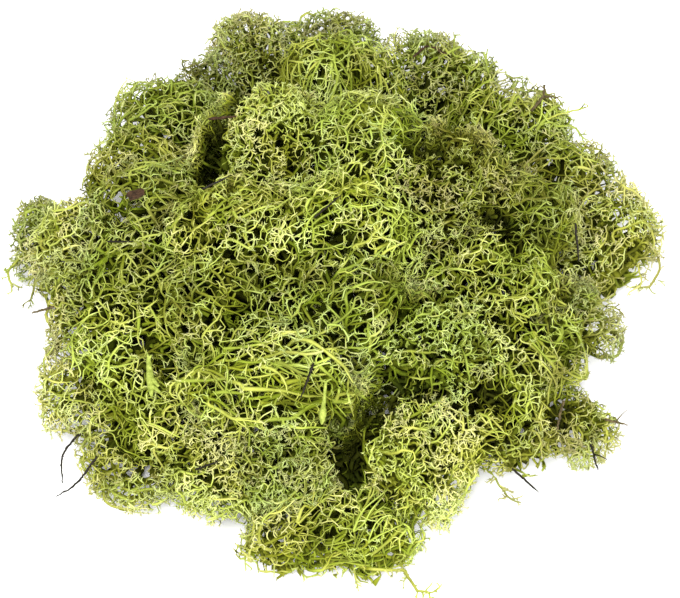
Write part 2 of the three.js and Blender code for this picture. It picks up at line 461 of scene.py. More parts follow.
def vertices_mm(mesh: bpy.types.Mesh) -> np.ndarray:
    """The places of a mesh's vertices in millimetres, one a row.

    Args:
        mesh: the mesh, in metres.

    Returns:
        The places.
    """
    places = np.zeros(len(mesh.vertices) * 3, np.float32)
    mesh.vertices.foreach_get("co", places)
    return places.reshape(-1, 3).astype(float) / MM


@dataclass(frozen=True)
class Drift:
    """A smooth value that wanders over space, mostly between -1 and 1."""

    waves: np.ndarray
    phases: np.ndarray

    @classmethod
    def over(cls, rng: np.random.Generator, length: float, count: int = 10) -> "Drift":
        """Makes a drift.

        Args:
            rng: where its random choices come from.
            length: rough distance between two highs, in mm.
            count: number of waves that are summed.

        Returns:
            The drift.
        """
        heading = unit(rng.normal(size=(count, 3)))
        pitch = 2 * math.pi / length * rng.uniform(0.6, 1.5, (count, 1))
        return cls(heading * pitch, rng.uniform(0, 2 * math.pi, count))

    def at(self, points: np.ndarray) -> np.ndarray:
        """The value at each point."""
        waves = np.sin(points @ self.waves.T + self.phases)
        return waves.sum(-1) / math.sqrt(len(self.phases) / 2) * 0.7


@dataclass(frozen=True)
class Skin:
    """The part of a tuft's surface that meets the air, as scattered points."""

    points: np.ndarray
    normals: np.ndarray
    area: float

    def nearest(self, places: np.ndarray) -> tuple[np.ndarray, np.ndarray]:
        """Finds the closest point of the skin.

        Args:
            places: points, one a row.

        Returns:
            The number of the closest skin point for each, and how far it is.
        """
        index = np.zeros(len(places), int)
        gap = np.zeros(len(places))
        for start in range(0, len(places), 1024):
            block = places[start : start + 1024]
            square = ((block[:, None, :] - self.points[None]) ** 2).sum(2)
            index[start : start + 1024] = square.argmin(1)
            gap[start : start + 1024] = np.sqrt(square.min(1))
        return index, gap


@dataclass
class Envelope:
    """The space that one tuft may fill, read from its solid."""

    corners: np.ndarray
    normals: np.ndarray
    areas: np.ndarray
    faces: np.ndarray
    reach: np.ndarray
    low: np.ndarray
    high: np.ndarray

    CHANNEL = 0.2  # a face with solid farther out than this is the side of a litter channel
    COVER = 0.8  # how far off the surface the air is looked for
    BLEND = 1.7  # how far the valleys between tufts are filled
    ROUNDS = 16  # how many times the surface is moved out to fill them
    STRIDE = 0.35  # how far it moves each time
    OVERHANG = -0.45  # surface that faces down more than this is the underside

    @classmethod
    def of(cls, mesh: bpy.types.Mesh) -> "Envelope":
        """Reads a tuft's solid.

        Args:
            mesh: the solid's mesh, in metres.

        Returns:
            The space in it.
        """
        mesh.calc_loop_triangles()
        order = np.zeros(len(mesh.loop_triangles) * 3, np.int32)
        mesh.loop_triangles.foreach_get("vertices", order)
        places = vertices_mm(mesh)
        corners = places[order.reshape(-1, 3)]
        cross = np.cross(corners[:, 1] - corners[:, 0], corners[:, 2] - corners[:, 0])
        areas = np.linalg.norm(cross, axis=1) / 2
        good = areas > 1e-3
        corners, areas, normals = corners[good], areas[good], unit(cross[good])
        offset = (normals * corners[:, 0]).sum(1)
        outer = (places @ normals.T).max(0) - offset < cls.CHANNEL
        planes = np.round(np.c_[normals[outer], offset[outer]], 2)
        _, first = np.unique(planes, axis=0, return_index=True)
        faces, reach = normals[outer][first], offset[outer][first]
        return cls(corners, normals, areas, faces, reach, places.min(0), places.max(0))

    def beyond(self, points: np.ndarray) -> np.ndarray:
        """How far each point lies outside the space; it is negative inside."""
        return (points @ self.faces.T - self.reach).max(1)

    def facing(self, points: np.ndarray) -> tuple[np.ndarray, np.ndarray]:
        """How far each point lies outside the space, and the normal of the face that it is off.

        Args:
            points: the places asked about.

        Returns:
            The distances, negative inside, and the normals.
        """
        off = points @ self.faces.T - self.reach
        which = off.argmax(1)
        return off[np.arange(len(points)), which], self.faces[which]

    def cover(self, points: np.ndarray) -> np.ndarray:
        """How much of the space stands straight over or under each point.

        Args:
            points: the places asked about.

        Returns:
            The heights, 0 beside the space.
        """
        slope = self.faces[:, 2]
        room = self.reach - points[:, :2] @ self.faces[:, :2].T
        top = (room[:, slope > 0.01] / slope[slope > 0.01]).min(1)
        foot = (room[:, slope < -0.01] / slope[slope < -0.01]).max(1)
        wall = room[:, np.abs(slope) <= 0.01].min(1, initial=99.0)
        return np.clip(np.where(wall > -0.3, top - foot, 0.0), 0, None)

    def touches(self, other: "Envelope", margin: float) -> bool:
        """Whether another space comes within a margin of this one, by their boxes."""
        beyond = (other.low > self.high + margin) | (other.high < self.low - margin)
        return not beyond.any()

    def scatter(self, rng: np.random.Generator, per_mm2: float) -> tuple[np.ndarray, np.ndarray]:
        """Scatters points evenly over the surface.

        Args:
            rng: where the random choices come from.
            per_mm2: points for each square millimetre.

        Returns:
            The points and the surface's normals there.
        """
        count = int(self.areas.sum() * per_mm2)
        which = rng.choice(len(self.areas), count, p=self.areas / self.areas.sum())
        a, b = np.sqrt(rng.random(count))[:, None], rng.random(count)[:, None]
        p, q, r = self.corners[which].transpose(1, 0, 2)
        return (1 - a) * p + a * (1 - b) * q + a * b * r, self.normals[which]

    def skins(
        self, rng: np.random.Generator, others: list["Envelope"], per_mm2: float
    ) -> tuple[Skin, Skin]:
        """Finds the surface that meets the air.

        Args:
            rng: where the random choices come from.
            others: the spaces of the other tufts.
            per_mm2: points for each square millimetre.

        Returns:
            The skin that faces up or out, and the one underneath.
        """
        points, normals = self.scatter(rng, per_mm2)
        probe = points + self.COVER * normals
        free = probe[:, 2] > 0
        for other in others:
            free[free] &= other.beyond(probe[free]) > 0.3
        above = free & (normals[:, 2] > self.OVERHANG)
        below = free & ~above
        out, leaning = self._swell(points[above], others)
        return (
            Skin(out, leaning, above.sum() / per_mm2),
            Skin(points[below], normals[below], below.sum() / per_mm2),
        )

    def _swell(self, points: np.ndarray, others: list["Envelope"]) -> tuple[np.ndarray, np.ndarray]:
        """Moves points of the surface out to a smooth one that fills the valleys between tufts.

        Args:
            points: points on the surface.
            others: the spaces of the tufts around it.

        Returns:
            The moved points and the normals of the smooth surface there.
        """
        moved = points.copy()
        spaces = [self, *others]
        for _ in range(self.ROUNDS):
            off, faces = zip(*(space.facing(moved) for space in spaces))
            weight = np.exp(-np.clip(np.stack(off), -20, 60) / self.BLEND)
            normal = unit((weight[:, :, None] * np.stack(faces)).sum(0))
            short = weight.sum(0) > 1
            moved[short] += self.STRIDE * normal[short]
        return moved, normal


@dataclass(frozen=True)
class Growth:
    """How branches grow in one layer of a tuft; lengths in mm."""

    step: float
    kill: float  # a goal with a branch closer than this is reached
    reach: float  # a goal farther than this from every branch doesn't pull
    inertia: float  # how much a branch keeps to its way
    wander: float
    outward: float = 0.0  # pull towards the skin, or along it where negative
    children: int = 3
    turns: int = 140
    split: float = 0.93  # how alike two sprouts' ways may be, as a cosine


@dataclass(frozen=True)
class HabitPlan:
    """What makes one way of growing different from another; lengths in mm."""

    shell: float  # depth of the dense outer layer
    spacing: float  # distance between neighbouring branches
    growth: Growth
    tip: float  # radius of the finest branches
    knot: float  # distance between rosettes
    relief: float  # depth of the hollows between rosettes
    star: int  # prongs on a tip
    prong: float  # length of a prong
    spread: float  # how far prongs lean out, in radians
    barbs: float  # share of the points that carry a side prong
    strand: float  # radius of the strands that lie over the surface
    strands: float  # number of those for each square centimetre
    strand_length: float
    bridges: float  # short links between strands for each square centimetre
    joined: float  # share of the loose tips that grow on to a neighbour


class Habit(Enum):
    """The ways in which a tuft grows."""

    CUSHION = "cushion"
    NET = "net"
    STALKS = "stalks"
    LACE = "lace"


INNER = Growth(3.0, 2.7, 14.0, 0.5, 0.18)
MAT = Growth(2.0, 1.38, 9.0, 0.3, 0.3)
RIM = Growth(1.9, 1.6, 8.0, 0.4, 0.35)
MIDDLE = Growth(2.1, 1.8, 7.0, 0.6, 0.3)
HABITS = {
    Habit.CUSHION: HabitPlan(
        shell=2.8, spacing=0.97, growth=Growth(0.85, 0.78, 3.0, 0.35, 0.32, 0.42),
        tip=0.2, knot=8.5, relief=1.0, star=3, prong=0.9, spread=1.0, barbs=0.5,
        strand=0.32, strands=0.6, strand_length=8.0, bridges=0.0, joined=0.0,
    ),
    Habit.NET: HabitPlan(
        shell=3.2, spacing=1.2, growth=Growth(1.0, 0.98, 3.8, 0.45, 0.38, -0.4),
        tip=0.19, knot=15.0, relief=1.6, star=2, prong=1.0, spread=0.8, barbs=0.3,
        strand=0.34, strands=5.0, strand_length=9.0, bridges=8.0, joined=0.75,
    ),
    Habit.STALKS: HabitPlan(
        shell=3.4, spacing=1.25, growth=Growth(1.05, 1.05, 3.8, 0.45, 0.38, -0.4),
        tip=0.2, knot=18.0, relief=1.4, star=2, prong=1.0, spread=0.8, barbs=0.3,
        strand=0.52, strands=5.0, strand_length=18.0, bridges=10.0, joined=0.7,
    ),
    Habit.LACE: HabitPlan(
        shell=3.0, spacing=1.05, growth=Growth(0.9, 0.86, 3.4, 0.35, 0.36, 0.15),
        tip=0.18, knot=10.0, relief=1.4, star=3, prong=0.95, spread=1.0, barbs=0.4,
        strand=0.32, strands=1.6, strand_length=9.0, bridges=2.0, joined=0.25,
    ),
}


@dataclass(frozen=True)
class Dip:
    """A place where the moss is lower than the tuft's solid, or higher where depth is negative."""

    width: float
    depth: float
    path: tuple[float, ...]  # x, y, x, y and so on along it
    steep: int = 2  # how sudden its sides are

    def near(self, space: Envelope) -> bool:
        """Whether the dip comes close to a tuft's space.

        Args:
            space: the tuft's space.

        Returns:
            Whether it counts for the tuft.
        """
        path, margin = np.array(self.path).reshape(-1, 2), 3 * self.width + 4
        after = (path.max(0) > space.low[:2] - margin).all()
        return bool(after and (path.min(0) < space.high[:2] + margin).all())

    def sink(self, points: np.ndarray) -> np.ndarray:
        """How far the moss lies lower at each point because of this dip.

        Args:
            points: the places asked about.

        Returns:
            The distances, negative for a mound.
        """
        flat = points[:, :2]
        line = np.array(self.path if len(self.path) > 2 else self.path * 2, float).reshape(-1, 2)
        nearest = np.full(len(flat), np.inf)
        for start, end in zip(line[:-1], line[1:]):
            run = end - start
            share = np.clip((flat - start) @ run / max(run @ run, 1e-6), 0, 1)
            gap = np.linalg.norm(flat - start - share[:, None] * run, axis=1)
            nearest = np.minimum(nearest, gap)
        return self.depth * np.exp(-((nearest / self.width) ** self.steep))


def dips(width: float, depth: float, steep: int, *paths: tuple[float, ...]) -> tuple[Dip, ...]:
    """Makes dips of one size along several paths."""
    return tuple(Dip(width, depth, path, steep) for path in paths)


def deepest(hollows: tuple, points: np.ndarray) -> np.ndarray:
    """How far the deepest of several dips sinks each point."""
    return np.max([hollow.sink(points) for hollow in hollows], axis=0)


@dataclass(frozen=True)
class Gloom:
    """A place under an opening where hardly any light comes, so that the strands stay dark."""

    width: float
    below: float  # height under which it is dark
    path: tuple[float, ...]  # x, y, x, y and so on along it

    def sink(self, points: np.ndarray) -> np.ndarray:
        """How much of the light is lost at each point."""
        under = np.clip((self.below - points[:, 2]) / 5, 0, 1)
        return Dip(self.width, 1, self.path, 4).sink(points) * under


GLOOMS = (
    Gloom(2.8, 41, (16, -42.5, 12.5, -43.5, 11, -45.5)),
    Gloom(2.8, 35, (10.5, -45, 9, -47, 7, -48.5)),
    Gloom(3.0, 28, (7, -48, 4, -51, 5, -54.5, 5, -57.5)),
    Gloom(2.6, 38, (17, -42.5, 22, -42.5, 27, -43)),
    Gloom(2.8, 49, (-24.5, 35.5, -28, 31, -31.5, 25.5, -33, 18.5)),
    Gloom(2.2, 43, (-32.5, 32, -34.6, 28.5)),
    Gloom(2.4, 43, (-24.5, 38.5, -20, 43)),
    Gloom(2.7, 43, (10.5, -43.5, 8.6, -45.5, 7.4, -47.2)),
    Gloom(1.9, 34, (4.5, -53.2, 0, -53)),
    Gloom(3.0, 36, (-26, 44, -18, 49)),
    Gloom(2.6, 26, (-17.6, 64.7, -15, 62, -16, 56)),
    Gloom(2.5, 45, (-30, 16, -34, 10)),
    Gloom(2.5, 29, (58, -42, 55, -46)),
    Gloom(2.5, 38, (36, -42, 42, -44)),
    Gloom(2.6, 48, (17.5, 20, 26, 19)),
    Gloom(1.9, 47, (30.5, 13.5, 33, 13)),
    Gloom(1.9, 46, (38.5, 2, 43, 1)),
    Gloom(1.9, 45, (28, 27, 31.5, 26.5)),
    Gloom(1.9, 46, (35, 20, 39, 19.5)),
)
CHASM = (
    *dips(2.4, 13, 4,
        (13, -44.5, 11.6, -46.5, 10, -48, 8.8, -50.5, 7, -53, 4.6, -54.8, 2.4, -56.5),
        (2.4, -56.5, 2.4, -58.8, 3.4, -60, 4.4, -61.5)),
    *dips(2.0, 12, 4, (10.5, -42.5, 8.6, -44.5, 7.4, -46.5)),
    *dips(1.6, 8, 4, (4.5, -52.6, 0, -52.6)),
    *dips(1.5, 7, 2, (17, -45, 22, -45.5, 26, -46)),
)
CLEFTS = (
    *dips(2.0, 6, 2, (-31, 17, -30, 14)),
    *dips(2.2, 6, 2, (-15, 43, -16, 50, -17, 57, -14, 61)),
    *dips(1.5, 5, 2, (-15, 21), (-11, 19, -10.6, 14)),
    *dips(1.7, 5, 2, (-45, -33, -41, -38)),
    *dips(1.8, 5, 2, (-33, 12, -34, 9)),
    *dips(2.0, 5, 2, (13, -43.5, 16, -45)),
    *dips(2.4, 5, 2, (2.5, -34.5)),
    *dips(2.5, 5, 2, (31, 31, 29.5, 25)),
    *dips(2.8, 5, 2, (65.9, -27.5)),
    *dips(1.5, 4.5, 2, (-39, -61), (35, -35.5, 36, -39)),
    *dips(1.7, 4.5, 2, (39, 0, 44, -1, 46, -12)),
    *dips(2.0, 4.5, 2, (36, -45.5, 42, -48.5)),
    *dips(2.2, 4.5, 2, (27, -22, 21, -25, 16.5, -29), (-22.5, -27.4, -25, -31)),
    *dips(2.4, 4.5, 2, (54.5, -48, 56, -45, 58, -41)),
    *dips(1.6, 4, 2, (25, 12, 29, 21, 32, 24)),
    *dips(1.8, 4, 2, (-58, 6, -55, 3), (-4.8, -30.5, -10, -34), (20, -20, 18.6, -26)),
    *dips(1.9, 4, 2, (-56, -46.5, -54, -52.5, -49, -58.5, -44, -59.5)),
    *dips(2.0, 4, 2, (-39, -58, -38.5, -63), (17.5, 29, 20, 22, 18.5, 18, 21, 14), (-11.6, 16.8),
        (37, 15, 36, 22), (-38.8, 6.5, -37, 4)),
    *dips(2.2, 4, 2, (6, 47, 8, 51), (57.7, 25, 54.4, 15), (58.5, -1, 58, -6, 56, -12)),
    *dips(2.6, 4, 2, (-16, -53, -12, -53.5, -6, -52)),
    *dips(1.3, 3.5, 2, (-34, -38, -32, -40.5)),
    *dips(1.8, 3.5, 2, (-44, -41.5, -38, -41)),
    *dips(1.9, 3.5, 2, (37.9, -55.5, 37, -60.5)),
    *dips(2.0, 3.5, 2, (-3, -60.5), (-20.4, 5.3), (-8, -47.5, -2, -49.5), (59.5, -31, 57, -34.5)),
    *dips(2.2, 3.5, 2, (-36, -2.3), (13, -66, 15, -70), (-71, -27.5), (-58.5, -10.5),
        (-5.5, -56.5)),
    *dips(2.5, 3.5, 2, (47.9, 1.5)),
    *dips(1.8, 3, 2, (43.7, 18, 42.5, 11)),
    *dips(2.0, 3, 2, (45.6, 34), (-24.2, 6.5), (44, 21.5, 38.2, 20), (72.5, 15), (-60.2, -5.8),
        (4.2, 29.6), (-26.5, 4), (34, -8), (-25.5, -28)),
    *dips(2.2, 3, 2, (13.6, 55), (33.6, 45.2), (-5.3, 5.5), (26, 22, 36, 22.5), (0, -45.5)),
    *dips(2.5, 3, 2, (-45.7, -20.5)),
    *dips(1.4, 2.5, 2, (-60, 29, -52, 25, -45, 21)),
    *dips(1.6, 2.5, 2, (30.5, -44.5)),
    *dips(1.8, 2.5, 2, (-30.1, -49.5), (-58.3, -48), (-37.2, 8.5), (6.6, -1.7), (-37.9, -6),
        (20.6, 29.4), (-36.2, -10.5)),
    *dips(2.0, 2.5, 2, (30.2, 18.2, 22.5, 16.5), (17, -72, 20.7, -72.5)),
    *dips(2.4, 2.5, 2, (-46.4, 45)),
    *dips(2.5, 2.5, 2, (-62.7, -37)),
    *dips(1.8, 2, 2, (-11.2, -50, -2.6, -51.5)),
    *dips(2.0, 2, 2, (37.9, 49)),
    *dips(2.8, 16, 4, (-24.5, 38, -27.5, 33, -31, 27, -33, 21, -33, 16.5)),
    *dips(2.3, 10, 4, (-31.5, 34.5, -34.4, 28.5)),
    *dips(2.6, 9, 4, (-25, 41, -18, 43.5, -12, 44)),
    *dips(2.2, 8, 4, (17.5, 19, 26, 18)),
    *dips(1.7, 6, 4, (30.5, 12.5, 33, 12), (38.5, 1, 43, 0)),
    *dips(1.7, 5, 4, (28, 26, 31.5, 25.5)),
    *dips(1.8, 5, 4, (35, 19, 39, 18.5)),
    *dips(1.7, 4.5, 4, (-16, -51, -9, -51.5)),
)
MOUNDS = (
    *dips(3.0, -4, 2, (-16, -55, -10, -55)),
    *dips(2.5, -3.5, 2, (-50, -31)),
    *dips(3.0, -3.5, 2, (-70, -1), (13, 68, 20, 66, 25, 64), (75, 22, 73, 26)),
    *dips(2.5, -3, 2, (60, -52.5, 66, -51), (-0.2, -10.6), (-21, -17.5, -28, -11), (-56.6, -31.5),
        (62.6, -1), (71, -23, 70, -27), (-84, 5, -85, 0), (-33, 67)),
    *dips(3.0, -3, 2, (-72, -25), (27, -71, 23, -75), (-44.5, -56, -48, -60),
        (-45, -44, -39, -44), (69, -19, 66.5, -25)),
    *dips(3.5, -3, 2, (-13, -36, -3, -36), (-40.5, 37)),
    *dips(2.2, -2.5, 2, (30.5, -50.7, 26, -54)),
    *dips(2.5, -2.5, 2, (23.5, -5), (31, -14, 37, -13), (-47, -51), (48, -55),
        (-21, -35, -20, -31), (-75, -25, -74, -29), (-22, -14), (-61, 3), (-60.4, -22),
        (-37, -35.5), (-4.3, -20), (-23.5, -48), (-32, -56.5, -27, -60.5), (36.5, -55),
        (-36, -67.5), (43.2, -35.5), (49.4, -46.5), (-57.1, -38), (-17, -31), (-46, -51)),
    *dips(3.0, -2.5, 2, (-9, -41, 2, -41), (-58, 46, -54, 50), (50, 33, 54, 36),
        (-9.6, 53.7, -3, 50, -3, 45), (-83, 6, -81, 0, -78, -6), (-71, -24, -71, -29)),
    *dips(3.5, -2.5, 2, (-31, -13.5, -27, -12, -18, -12.5, -9, -11.6), (-23, 17, -20, 22),
        (14, 67, 20, 66, 25, 66), (-34, 74, -30, 75, -25, 76, -19, 76)),
    *dips(2.0, -2, 2, (24.6, -49), (10.9, -38), (44, -6.7), (36.6, -42)),
    *dips(2.2, -2, 2, (9, 25, 10.6, 15.5, 12.3, 12), (13.6, -11.7)),
    *dips(2.5, -2, 2, (14, 64), (32.5, -55), (41, 53), (8.7, 17.5, 18.5, 11.3), (-12, 6),
        (-31, -68), (-12, -65), (61, -39), (28, 2.5), (63.9, 18), (54.3, 31, 44.2, 39), (55.5, 0),
        (23.5, 0), (29, -69), (-23, -17), (-9, -2), (1, -9), (4.8, 12), (30.8, -15, 28, -18.6),
        (-38.5, -35.4, -32.5, -33.6), (-50.5, -10), (-52, -34, -62, -31), (-63, -46.5, -68, -42),
        (46, -35, 50.5, -38.8), (-64.6, 7, -70.9, 0.8)),
    *dips(3.0, -2, 2, (9, -36, 5, -40), (26, -1.7), (-18, -74, -21, -80),
        (73, 25, 76, 19, 78, 14), (-50, -66, -46, -65)),
    *dips(3.5, -2, 2, (10, -74, 8, -80)),
    *dips(2.5, -1.8, 2, (-24, -75)),
    *dips(2.5, -1.5, 2, (-29.7, -71), (-47.4, -62.6, -54.8, -61.8), (-10, -65.4, -17, -68),
        (68.3, 4, 73.4, 3), (83, 5, 84, 0), (27, -70, 31, -68)),
    *dips(3.0, -1.5, 2, (-50.7, 24, -57.8, 19.8), (-58, 45, -59, 40), (-73, -36, -72, -42)),
    *dips(2.5, -1, 2, (65, -52)),
)
BAYS = (
    *dips(3.0, 26, 2, (47, 54.5, 51, 53)),
    *dips(3.5, 18, 2, (83, 2, 79, -1, 76, -7, 71, -12)),
    *dips(2.5, 12, 2, (34, 69, 38, 67)),
    *dips(2.5, 9, 2, (-52, 54.5, -43, 57)),
    *dips(3.0, 9, 2, (-6, 75, 4, 74, 12, 71)),
    *dips(2.5, 8, 2, (-80, -9, -78.5, -12, -77.5, -17, -77, -22)),
    *dips(2.2, 7, 2, (66, -31.5, 69, -36, 72, -39.5)),
    *dips(2.0, 5, 2, (-41, 60, -37, 63)),
    *dips(2.3, 5, 2, (-14, -85.5, -5, -86, 8, -85.5, 14, -84)),
    *dips(2.5, 5, 2, (44, -61.5, 49, -60, 54, -59.5)),
    *dips(2.0, 4, 2, (77, -14, 77, -20)),
    *dips(2.0, 3, 2, (68, 35, 72, 31)),
    *dips(2.5, 3, 2, (-69, 26, -70, 18)),
    *dips(3.0, 3, 2, (61, 41, 66, 34)),
    *dips(2.5, 2.5, 2, (-62, 28, -66, 22, -67, 17), (20.7, -77.5)),
    *dips(2.0, 2, 2, (33, -66, 39, -62)),
    *dips(2.5, 2, 2, (-20, -81, -12, -84)),
    *dips(2.0, 1.5, 2, (-72, 22)),
    *dips(2.5, 1.5, 2, (-50, 53, -43, 56)),
    *dips(2.0, 1, 2, (-42, -67, -34, -71)),
)


@dataclass
class Skeleton:
    """The branches of a tuft as points, each of which knows the point that it grew from."""

    skin: Skin
    room: int = 60000
    count: int = 0

    STRAIGHT = 0.865  # cosine of the bend under which a point is left out

    def __post_init__(self) -> None:
        """Makes room for the points."""
        self.place, self.heading, self.last = np.zeros((3, self.room, 3))
        self.parent = np.full(self.room, -1)
        self.sprouts, self.near = np.zeros((2, self.room), int)
        self.thick, self.depth = np.zeros((2, self.room))

    def add(
        self, place: np.ndarray, heading: np.ndarray, parent: np.ndarray, thick: float = 0.0
    ) -> np.ndarray:
        """Adds points.

        Args:
            place: where they are.
            heading: the way that each points.
            parent: the point that each grew from, or -1.
            thick: the least radius there.

        Returns:
            The numbers of the new points.
        """
        new = np.arange(self.count, self.count + len(place))
        self.place[new], self.heading[new] = place, heading
        self.parent[new], self.thick[new] = parent, thick
        self.near[new], gap = self.skin.nearest(place)
        close = self.near[new]
        rise = ((place - self.skin.points[close]) * self.skin.normals[close]).sum(1)
        self.depth[new] = np.where(rise > 0.3, 0.2, gap)
        grown = parent >= 0
        self.sprouts[parent[grown]] += 1
        self.last[parent[grown]] = heading[grown]
        self.count += len(place)
        return new

    def sprout(self, parent: int, place: np.ndarray, way: np.ndarray, thick: float = 0.0) -> int:
        """Adds one point.

        Args:
            parent: the point that it grew from, or -1.
            place: where it is.
            way: the way that it points.
            thick: the least radius there.

        Returns:
            Its number.
        """
        return int(self.add(place[None], way[None], np.array([parent]), thick)[0])

    def closest(self, place: np.ndarray) -> tuple[int, float]:
        """The point that lies closest to a place, and the square of how far it is."""
        square = ((self.place[: self.count] - place) ** 2).sum(1)
        return int(square.argmin()), square.min()

    def seek(self, goals: np.ndarray, plan: Growth, rng: np.random.Generator) -> None:
        """Grows branches towards goals until each goal has one close by.

        Args:
            goals: the points to reach, one a row.
            plan: how the branches grow.
            rng: where the random choices come from.
        """
        nearest = np.zeros(len(goals), int)
        gap = np.full(len(goals), np.inf)
        fresh = np.arange(self.count)
        for _ in range(plan.turns):
            for start in range(0, len(fresh), 256):
                block = fresh[start : start + 256]
                square = ((goals[:, None, :] - self.place[block][None]) ** 2).sum(2)
                best = square.argmin(1)
                value = square[np.arange(len(goals)), best]
                closer = value < gap
                gap[closer] = value[closer]
                nearest[closer] = block[best[closer]]
            open_goals = gap > plan.kill**2
            goals, nearest, gap = goals[open_goals], nearest[open_goals], gap[open_goals]
            calling = gap < plan.reach**2
            if not calling.any():
                return
            parents, where = np.unique(nearest[calling], return_inverse=True)
            pull = np.zeros((len(parents), 3))
            np.add.at(pull, where, unit(goals[calling] - self.place[nearest[calling]]))
            heading = unit(pull) + plan.inertia * self.heading[parents]
            heading += rng.normal(0, plan.wander, heading.shape)
            normal = self.skin.normals[self.near[parents]]
            if plan.outward > 0:
                heading += plan.outward * normal
            else:
                heading += plan.outward * (heading * normal).sum(1)[:, None] * normal
            heading = unit(heading)
            free = self.sprouts[parents] < plan.children
            free &= (heading * self.last[parents]).sum(1) < plan.split
            if not free.any():
                return
            parents, heading = parents[free], heading[free]
            fresh = self.add(self.place[parents] + plan.step * heading, heading, parents)

    def finish(self, tip: float, stoutest: float) -> None:
        """Works out how thick each point is and which sprout goes on from it.

        Args:
            tip: radius of the finest branches.
            stoutest: radius that no fine branch passes.
        """
        n = self.count
        tips = np.zeros(n)
        height = np.zeros(n, int)
        best = np.zeros(n)
        self.onward = np.full(n, -1)
        for i in range(n - 1, -1, -1):
            tips[i] = max(tips[i], 1.0)
            up = self.parent[i]
            if up < 0:
                continue
            tips[up] += tips[i]
            height[up] = max(height[up], height[i] + 1)
            worth = tips[i] + 100 * self.thick[i]
            if worth > best[up]:
                best[up], self.onward[up] = worth, i
        self.height = height
        fine = np.minimum(tip * tips**0.24, stoutest)
        fork = 1.0 + 0.22 * (self.sprouts[:n] > 1)
        self.radius = np.maximum(fine, self.thick[:n]) * fork

    def smooth(self, rounds: int) -> None:
        """Takes the kinks out of the branches.

        Args:
            rounds: how many times each point moves to the middle of its neighbours.
        """
        n = self.count
        up, on = self.parent[:n], self.onward
        inner = np.flatnonzero((up >= 0) & (on >= 0))
        for _ in range(rounds):
            middle = (self.place[up[inner]] + self.place[on[inner]]) / 2
            self.place[inner] = 0.5 * self.place[inner] + 0.5 * middle

    def straight(self) -> np.ndarray:
        """Finds the points that can be left out because the branch hardly turns there.

        Returns:
            A flag for each point, never two in a row.
        """
        n = self.count
        up, on = self.parent[:n], self.onward
        inner = np.flatnonzero((up >= 0) & (on >= 0) & (self.sprouts[:n] == 1))
        before = unit(self.place[inner] - self.place[up[inner]])
        after = unit(self.place[on[inner]] - self.place[inner])
        spare = np.zeros(n, bool)
        spare[inner] = (before * after).sum(1) > self.STRAIGHT
        for i in np.flatnonzero(spare):
            if spare[self.parent[i]]:
                spare[i] = False
        return spare

    def chains(self) -> tuple[np.ndarray, np.ndarray, np.ndarray]:
        """Follows every branch from where it starts to its tip.

        Returns:
            The points in order, whether each starts a branch, and the number of its branch.
        """
        order, starts, owner = [], [], []
        chain = 0
        spare = self.straight()
        for i in range(self.count):
            up = self.parent[i]
            if up >= 0 and self.onward[up] == i:
                continue
            line = [up] if up >= 0 else []
            step = i
            while step >= 0:
                if not spare[step] or len(line) < 2:
                    line.append(step)
                step = self.onward[step]
            if len(line) > 1:
                order += line
                starts += [True] + [False] * (len(line) - 1)
                owner += [chain] * len(line)
                chain += 1
        return np.array(order), np.array(starts), np.array(owner)


